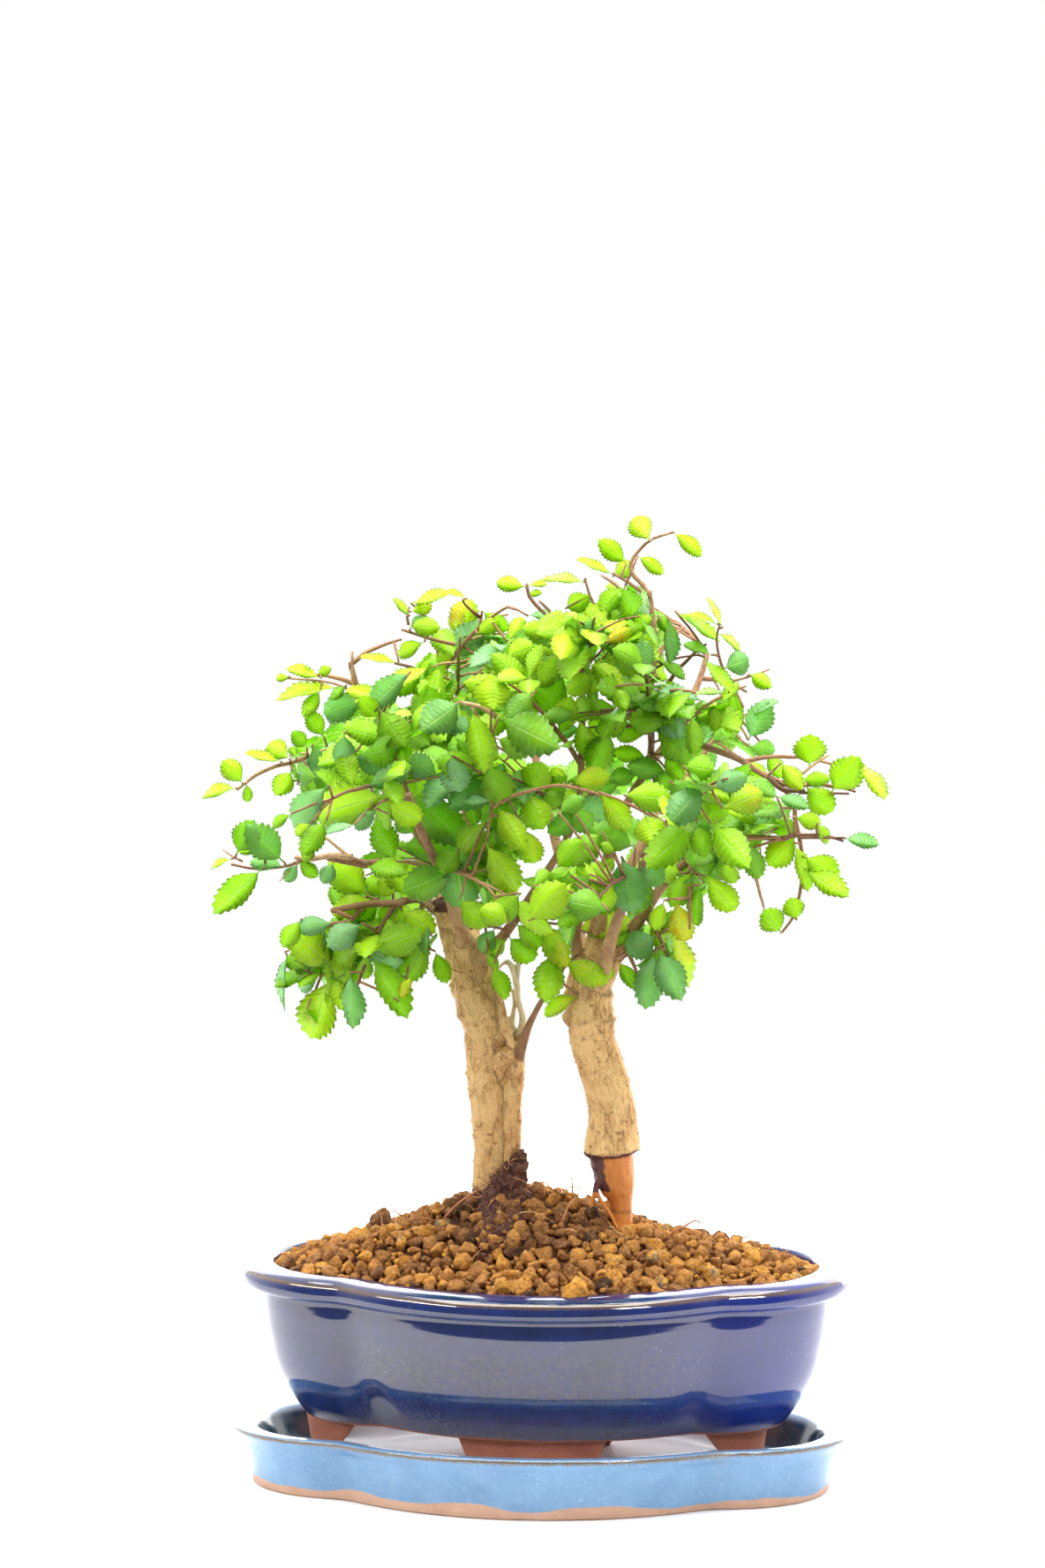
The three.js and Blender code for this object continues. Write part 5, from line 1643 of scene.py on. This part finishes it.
OWN_TWIGS = {
    "top": [(728, 662), (718, 652), (714, 640), (722, 626), (738, 611), (762, 603)],
    "hang_right": [
        (898, 905), (901, 928), (906, 950), (909, 972), (908, 1000), (904, 1022), (898, 1040), (886, 1056),
    ],
    "far_left": [(372, 850), (349, 857), (330, 864), (312, 868), (290, 878), (278, 887), (269, 894)],
    "low_left_reach": [
        (416, 981), (398, 972), (380, 970), (355, 973), (338, 976), (324, 981), (290, 984), (262, 979),
    ],
    "left_tail": [(400, 1042), (378, 1046), (358, 1048), (342, 1043)],
}

# %% [markdown]
# The rest of a shoot grows by rule. Leaves stand left and right in turn, lean forward along the twig and
# turn their upper faces out of the crown towards the light. A leaf that would stick out of the clipped crown
# is turned and shortened a few times, and left off if it still does not fit.

# %% Twigs and leaf places
WOOD = {**LEFT_WOOD, **RIGHT_WOOD}
CROWN_MIDDLE = Vector((4, 0, 205))


def arched(start, tip, rise, thick, thin, steps):
    """A twig from start to tip whose middle stands higher."""
    middle = (start + tip) / 2 + Vector((0, 0, rise * (tip - start).length))
    points = []
    for i in range(steps + 1):
        t = i / steps
        p = start * (1 - t) ** 2 + middle * 2 * t * (1 - t) + tip * t * t
        p += 0.35 * noise.noise_vector(p * 0.25)
        points.append(Vector((p.x, p.y, p.z, thick + (thin - thick) * t)))
    return points


def tapered(points, thick, thin):
    """A soft line through the points that thins out towards its tip."""
    last = len(points) - 1
    return walked([Vector((*p, thick + (thin - thick) * i / last)) for i, p in enumerate(points)], 2.5)


def main_twig(name, branch, share, tip):
    """The shoot's own twig: through its places on the grid if they are listed, else a plain arch."""
    start, tip = on_route(WOOD[branch], share).to_3d(), Vector(tip)
    places = OWN_TWIGS.get(name)
    if not places:
        return arched(start, tip, rise=0.15, thick=0.95, thin=0.42, steps=14)
    depths = [start.y + (tip.y - start.y) * (i + 1) / len(places) for i in range(len(places))]
    return tapered([start] + [off_grid(*place, depth) for place, depth in zip(places, depths)], 0.95, 0.45)


def nearest_on_grid(points, spot):
    """The one of the points that shows nearest to this place of the grid."""
    return min(points, key=lambda p: math.dist(on_grid(p.to_3d()), spot))


def leaf_matrix(foot, way, up, length, width):
    """Lays a leaf of length 1 at its foot, pointing this way with its upper face up."""
    wide = way.cross(up).normalized()
    up = wide.cross(way)
    return Matrix((
        (wide.x * width, way.x * length, up.x * length, foot.x),
        (wide.y * width, way.y * length, up.y * length, foot.y),
        (wide.z * width, way.z * length, up.z * length, foot.z),
        (0, 0, 0, 1),
    ))


def reach_of(shape):
    """The leaf's tip, its two sides and its middle."""
    points = [v.co for v in shape.vertices]
    return [max(points, key=lambda p: p.y), max(points, key=lambda p: p.x), min(points, key=lambda p: p.x),
            Vector((0, 0.5, 0))]


leaf_reach = [reach_of(shape) for shape in leaf_shapes]
MM_PER_STEP = 0.315
SHARE_WIDE = 0.57
BEFORE_TWIG = 4.5
TWIG_BEFORE = 3.2
TWIG_THICKNESS = 0.75


def seen_leaf(main, points, draw, spot):
    """Shape, place, stalk and tone of one leaf placed one by one: its stalk comes from the nearest twig."""
    x, y, tip_x, tip_y, width, tone = spot
    near = nearest_on_grid(points, (x, y))
    depth = nearest_on_grid(main, (x, y)).y - BEFORE_TWIG
    foot = off_grid(x, y, depth)
    flat_way = off_grid(tip_x, tip_y, depth) - foot
    width *= MM_PER_STEP
    pitch = draw.uniform(0.1, 0.5) * draw.choice((-1, 1))
    length = flat_way.length / math.cos(pitch) * 1.1
    way = (flat_way.normalized() * math.cos(pitch) - toward_camera * math.sin(pitch)).normalized()
    broad = max(width / SHARE_WIDE, 0.85 * length)
    tilt = math.acos(min(1, width / (SHARE_WIDE * broad)))
    facing = (toward_camera - way * toward_camera.dot(way)).normalized()
    up = max((Matrix.Rotation(angle, 3, way) @ facing for angle in (tilt, -tilt)), key=lambda u: u.z)
    matrix = leaf_matrix(foot, way, up, length, broad)
    while not all(in_box(matrix @ p) for p in leaf_reach[0]):
        length, broad = length * 0.97, broad * 0.97
        matrix = leaf_matrix(foot, way, up, length, broad)
    far = (foot - near.to_3d()).length > 1.5
    stalk = arched(near.to_3d(), foot, rise=0.06, thick=0.5, thin=0.36, steps=4) if far else None
    return draw.choice((0, 0, 2, 4)), matrix, stalk, tone


twigs, hand_placed, seen_middles = {}, {}, []
for name, plan in SHOOTS.items():
    main = main_twig(name, *plan)
    twigs[name] = [main]
    for thick, thin, places in SEEN_TWIGS.get(name, ()):
        depth = nearest_on_grid(main, places[0]).y - TWIG_BEFORE
        line = [off_grid(*spot, depth) for spot in places]
        twigs[name].append(tapered(line, thick * TWIG_THICKNESS, thin * TWIG_THICKNESS))
    draw = random.Random(name)
    points = [p for line in twigs[name] for p in line]
    hand_placed[name] = [seen_leaf(main, points, draw, spot) for spot in SEEN.get(name, ())]
    for kind, matrix, _, _ in hand_placed[name]:
        tip, _, _, middle = (matrix @ point for point in leaf_reach[kind])
        shown_length = math.dist(on_grid(matrix.translation), on_grid(tip))
        seen_middles.append((*on_grid(middle), middle.y, 0.42 * shown_length + 2))
print("leaves placed by hand:", len(seen_middles))


def hides_seen(spot):
    """True if a leaf with its middle here would cover a leaf that was placed one by one."""
    across, down = on_grid(spot)
    return any(spot.y < depth + 2 and math.hypot(across - x, down - y) < size
               for x, y, depth, size in seen_middles)

# %% Growing a shoot
LEAF_TRIES = 7
LEAF_LENGTHS = (14, 23)
BACK_OF_CROWN = 25
GROWN_SPARE = 2.2


def add_leaf(bm, foot, way, draw, length, tone):
    """Tries to add one leaf and gives how many were added."""
    outward = (foot - CROWN_MIDDLE).normalized()
    facing = Vector((outward.x * 0.4, -0.7 if foot.y < BACK_OF_CROWN else 0.7, 0.5))
    for attempt in range(LEAF_TRIES):
        up = facing + scattered(draw, 0.34)
        toward = (way + scattered(draw, 0.35 * attempt)).normalized()
        if abs(up.normalized().dot(toward)) > 0.9:
            continue
        kind = draw.randrange(len(leaf_shapes))
        size = length * (1 - 0.06 * attempt)
        matrix = leaf_matrix(foot, toward, up, size, size * draw.uniform(0.88, 1.14))
        spots = [matrix @ p for p in leaf_reach[kind]]
        boxed = all(in_box(spot, GROWN_SPARE) for spot in spots)
        if boxed and unclipped(spots) and not hides_seen(spots[3]):
            copy_into(bm, leaf_shapes[kind], matrix, tone)
            return 1
    return 0


def leave_twig(bm, points, draw, spacing, base, tone):
    """Puts leaves along a twig, left and right in turn, and one at its tip."""
    rings = rings_along(points)
    total = rings[-1][4]
    count = max(2, round(total * (1 - base) / spacing))
    leaves = 0
    for i in range(count + 1):
        distance = total * (base + (1 - base) * i / count)
        at = min(range(len(rings)), key=lambda k: abs(rings[k][4] - distance))
        centre, side, across, _, _ = rings[at]
        along = side.cross(across)
        level = along.cross(Vector((0, 0, 1))).normalized() if abs(along.z) < 0.95 else side
        spread = level * (1 if i % 2 else -1)
        spread = Matrix.Rotation(draw.gauss(0, 0.55), 3, along) @ spread
        open_angle = 0.15 if i == count else draw.uniform(0.65, 1.15)
        way = along * math.cos(open_angle) + spread * math.sin(open_angle)
        way += Vector((0, 0, draw.uniform(-0.45, 0.1)))
        length = draw.uniform(*LEAF_LENGTHS) * (1 - 0.2 * i / count)
        leaf_tone = min(0.8, max(0, tone + draw.gauss(0, 0.18)))
        leaves += add_leaf(bm, centre, way.normalized(), draw, length, leaf_tone)
    return leaves


def grow_shoot(name, number):
    """Builds one shoot and gives its number of leaves and faces."""
    draw = random.Random(900 + number)
    bm = bmesh.new()
    main = twigs[name][0]
    start, tip = main[0].to_3d(), main[-1].to_3d()
    twig_tone = draw.uniform(0.1, 0.7)
    bend_rod(bm, main, 6, twig_tone)
    for line in twigs[name][1:]:
        bend_rod(bm, line, 7, STUB_TONES.get(name, twig_tone))
    leaves = len(hand_placed[name])
    for kind, matrix, stalk, tone in hand_placed[name]:
        copy_into(bm, leaf_shapes[kind], matrix, tone)
        if stalk:
            bend_rod(bm, stalk, 5, 0.5)
    green = draw.uniform(0.25, 0.6)
    leaves += leave_twig(bm, main, draw, spacing=4.3, base=0.15, tone=green)
    side_twigs = max(4, round((tip - start).length / 4.7))
    for i in range(side_twigs):
        t = 0.15 + 0.7 * (i + draw.uniform(0.2, 0.8)) / side_twigs
        foot = main[round(t * (len(main) - 1))].to_3d()
        along = (tip - start).normalized()
        sideways = along.cross(Vector((0, 0, 1)))
        sideways = sideways.normalized() if sideways.length > 0.2 else Vector((1, 0, 0))
        out = along * 0.55 + sideways * (0.8 if i % 2 else -0.8) + Vector((0, 0, draw.uniform(-0.45, 0.6)))
        far = foot + out.normalized() * draw.uniform(11, 22)
        if not unclipped([far]):
            far = foot + (far - foot) * 0.45
        if unclipped([far]) and in_box(far) and not hides_seen(far):
            twiglet = arched(foot, far, rise=0.12, thick=0.5, thin=0.28, steps=6)
            own_green = green + draw.uniform(-0.14, 0.2)
            grown = leave_twig(bm, twiglet, draw, spacing=3.9, base=0.2, tone=own_green)
            if grown > 1:
                bend_rod(bm, twiglet, 5, min(0.8, twig_tone + 0.2))
            leaves += grown
    piece = finish_piece(bm, "leafy_" + name, [elm_leaf, young_twig], ["shoot_" + name])
    return leaves, len(piece.data.polygons)


totals = [grow_shoot(name, number) for number, name in enumerate(SHOOTS)]
print("leaves:", sum(t[0] for t in totals), "faces:", sum(t[1] for t in totals))

# %% [markdown]
# ## Peat and fine roots
#
# The old dark root ball shows as a fibrous clump against the foot of the left trunk. A few rough balls are
# melted together for it in the same way as the wood. Hair-thin roots curl over the clump and the granules:
# each one is a bent rod that wanders from its foot and thins out to nothing.

# %% Peat finish
def peat_finish():
    material, tree, shader = new_finish("dark_peat", IOR=1.35, Roughness=0.9)
    where = place(tree)
    fibres = grain_of(tree, where, 700, 6, 0.75)
    blotch = grain_of(tree, where, 240, 3)
    peat = ramp(tree, fibres, [
        (0.30, rgb(0.030, 0.012, 0.010)),
        (0.48, rgb(0.120, 0.050, 0.040)),
        (0.62, rgb(0.300, 0.140, 0.095)),
        (0.75, rgb(0.580, 0.300, 0.150)),
    ])
    colour = mixed(tree, between(tree, blotch, 0.5, 0.7, 0, 0.5), peat, rgb(0.33, 0.14, 0.05))
    feed(tree, shader, Base_Color=colour, Normal=bumps(tree, fibres, 0.002))
    return material


def root_finish():
    material, tree, shader = new_finish("fine_root_skin", IOR=1.4, Roughness=0.6)
    colour = mixed(tree, attribute(tree, "tone"), rgb(0.42, 0.13, 0.055), rgb(0.85, 0.45, 0.18))
    feed(tree, shader, Base_Color=colour)
    return material


dark_peat, root_skin = peat_finish(), root_finish()

# %% The clump
PEAT_VOXEL = 0.9
PEAT_BALLS = [
    (-9, -2, 84, 10), (-11, -5, 92, 8.5), (-9, -3, 97, 7), (-9, -3, 102, 5.2), (-7.5, -2.5, 107, 3.8),
    (-6.3, -1, 111.5, 2.4), (-14, -8, 92, 7), (-3, -6, 90, 6.5), (-14, -13, 89.5, 7), (-7, -14, 89, 7),
    (-16, -18, 86, 6.5), (-9, -20, 85.5, 6.5), (-14.5, -5.5, 98, 4.6), (-12, -4.8, 103, 4),
    (-9.5, -4.2, 107.5, 3.2), (-13, -25, 82.5, 6), (-4, -18, 85.5, 5.5), (-7, -27, 81, 5),
]
peat_bm = bmesh.new()
for x, y, z, size in PEAT_BALLS:
    bmesh.ops.create_icosphere(peat_bm, subdivisions=3, radius=size, matrix=Matrix.Translation((x, y, z)))
peat_bm = melted(peat_bm, PEAT_VOXEL)
for v in peat_bm.verts:
    lumps = 1.5 * noise.noise(v.co * 0.28) + 0.8 * noise.noise(v.co * 0.8)
    v.co += v.normal * (lumps + 0.4 * noise.noise(v.co * 2.2))
peat = finish_piece(peat_bm, "peat_clump", [dark_peat])
print("peat faces:", len(peat.data.polygons))

# %% Fine roots
ROOT_STEPS = 10


def fine_root(bm, foot, way, length, thick, draw, curl=0.8):
    """One root that sets out from its foot, wanders and thins out."""
    points, here, way = [], foot.copy(), way.normalized()
    swirl = Vector([draw.uniform(-50, 50) for _ in range(3)])
    for i in range(ROOT_STEPS + 1):
        points.append(Vector((*here, thick * (1 - 0.7 * i / ROOT_STEPS))))
        way = (way + curl * noise.noise_vector(here * 0.12 + swirl)).normalized()
        here = here + way * length / ROOT_STEPS
    bend_rod(bm, points, 5, draw.random())


BOLD_ROOTS = [
    [(-10, -12, 97), (-12, -16, 92), (-8, -20, 88)],
    [(-20, -9, 101), (-26, -12, 97), (-31, -14, 92)],
    [(44, -8, 86), (47, -9, 89), (51, -9, 89.5), (56, -10, 86)],
    [(48, -9, 89), (53, -8, 92), (55, -7, 91)],
]
draw = random.Random(31)
root_bm = bmesh.new()
for name, kind in ROD_LAYERS.items():
    getattr(root_bm.verts.layers, kind).new(name)
for _ in range(60):
    x, y, z, size = draw.choice(PEAT_BALLS)
    away = Vector((draw.gauss(0, 1), -abs(draw.gauss(0, 1)), draw.gauss(0.2, 0.8))).normalized()
    foot = Vector((x, y, z)) + away * size * 0.95
    if foot.z > 82:
        way = away * 0.5 + scattered(draw, 0.7)
        fine_root(root_bm, foot, way, draw.uniform(5, 13), draw.uniform(0.13, 0.3), draw)
for _ in range(34):
    spot = on_soil(draw.random(), draw.uniform(0.05, 0.85))
    way = Vector((draw.gauss(0, 1), draw.gauss(0, 0.6), draw.uniform(0, 0.5)))
    foot = spot + Vector((0, 0, 1.2))
    fine_root(root_bm, foot, way, draw.uniform(7, 16), draw.uniform(0.15, 0.32), draw, curl=0.5)
for places in BOLD_ROOTS:
    line = [Vector((*spot, 0.42 - 0.1 * i)) for i, spot in enumerate(places)]
    bend_rod(root_bm, walked(line, 1.5), 6, 0.2)
for face in root_bm.faces:
    face.material_index = 0
roots = finish_piece(root_bm, "fine_roots", [root_skin])
print("root faces:", len(roots.data.polygons))

# %% [markdown]
# ## Studio
#
# The trees were photographed on a small white table against a bright white backdrop. The backdrop lights
# the leaves from behind and shows in the rims, the table shows in the glaze, and three strip lamps make the
# short bright lines on the lip.

# %% Floor
TABLE_WIDTH, TABLE_DEPTH = 1.5, 0.92
TABLE_BACK = 0.25

floor_bm = bmesh.new()
bmesh.ops.create_grid(floor_bm, x_segments=1, y_segments=1, size=0.5)
bmesh.ops.scale(floor_bm, vec=(TABLE_WIDTH, TABLE_DEPTH, 1), verts=floor_bm.verts)
bmesh.ops.translate(floor_bm, vec=(0, TABLE_BACK, 0), verts=floor_bm.verts)
floor_mesh = kept_mesh(floor_bm, "floor")
floor = bpy.data.objects.new("floor", floor_mesh)
bpy.context.collection.objects.link(floor)
floor_material, _, _ = new_finish("white_table", Base_Color=rgb(0.86, 0.86, 0.86), Roughness=0.7)
floor_mesh.materials.append(floor_material)

# %% Lamps
def panel(name, place_at, look_at, width, height, brightness):
    """A rectangular soft lamp whose face has this radiance."""
    data = bpy.data.lights.new(name, "AREA")
    data.shape = "RECTANGLE"
    data.size, data.size_y = width, height
    data.energy = brightness * math.pi * width * height
    lamp = bpy.data.objects.new(name, data)
    bpy.context.collection.objects.link(lamp)
    lamp.location = place_at
    lamp.rotation_euler = (Vector(place_at) - Vector(look_at)).to_track_quat("Z", "Y").to_euler()
    lamp.visible_camera = False
    return lamp


TREE = (0, 0, 0.2)
panel("overhead", (0, -0.12, 1.25), TREE, 1.3, 1.0, 8)
panel("backdrop", (0, 1.1, 0.45), TREE, 2.2, 1.2, 3.2)
panel("strip_left", (-1.05, -0.75, 0.95), TREE, 0.9, 0.05, 60)
panel("strip_right", (0.75, -0.95, 0.95), TREE, 0.3, 0.04, 70)
panel("strip_right_low", (0.75, -0.95, 0.83), TREE, 0.3, 0.04, 70)

# %% World
world = bpy.data.worlds.new("studio")
bpy.context.scene.world = world
world.use_nodes = True
sky_tree = world.node_tree
room = sky_tree.nodes["Background"]
room.inputs["Color"].default_value = rgb(1, 1, 1)
depthways = axes_of(sky_tree, add(sky_tree, "TexCoord").outputs["Generated"])["Y"]
feed(sky_tree, room, Strength=between(sky_tree, depthways, -0.5, 0.4, 0.26, 2.0))
white = add(sky_tree, "Background", Color=rgb(1, 1, 1), Strength=1.0)
seen = add(sky_tree, "LightPath").outputs["Is Camera Ray"]
feed(sky_tree, sky_tree.nodes["World Output"], Surface=blend(sky_tree, seen, room, white))
bpy.context.scene.view_settings.view_transform = "Standard"
print("view:", bpy.context.scene.view_settings.view_transform)
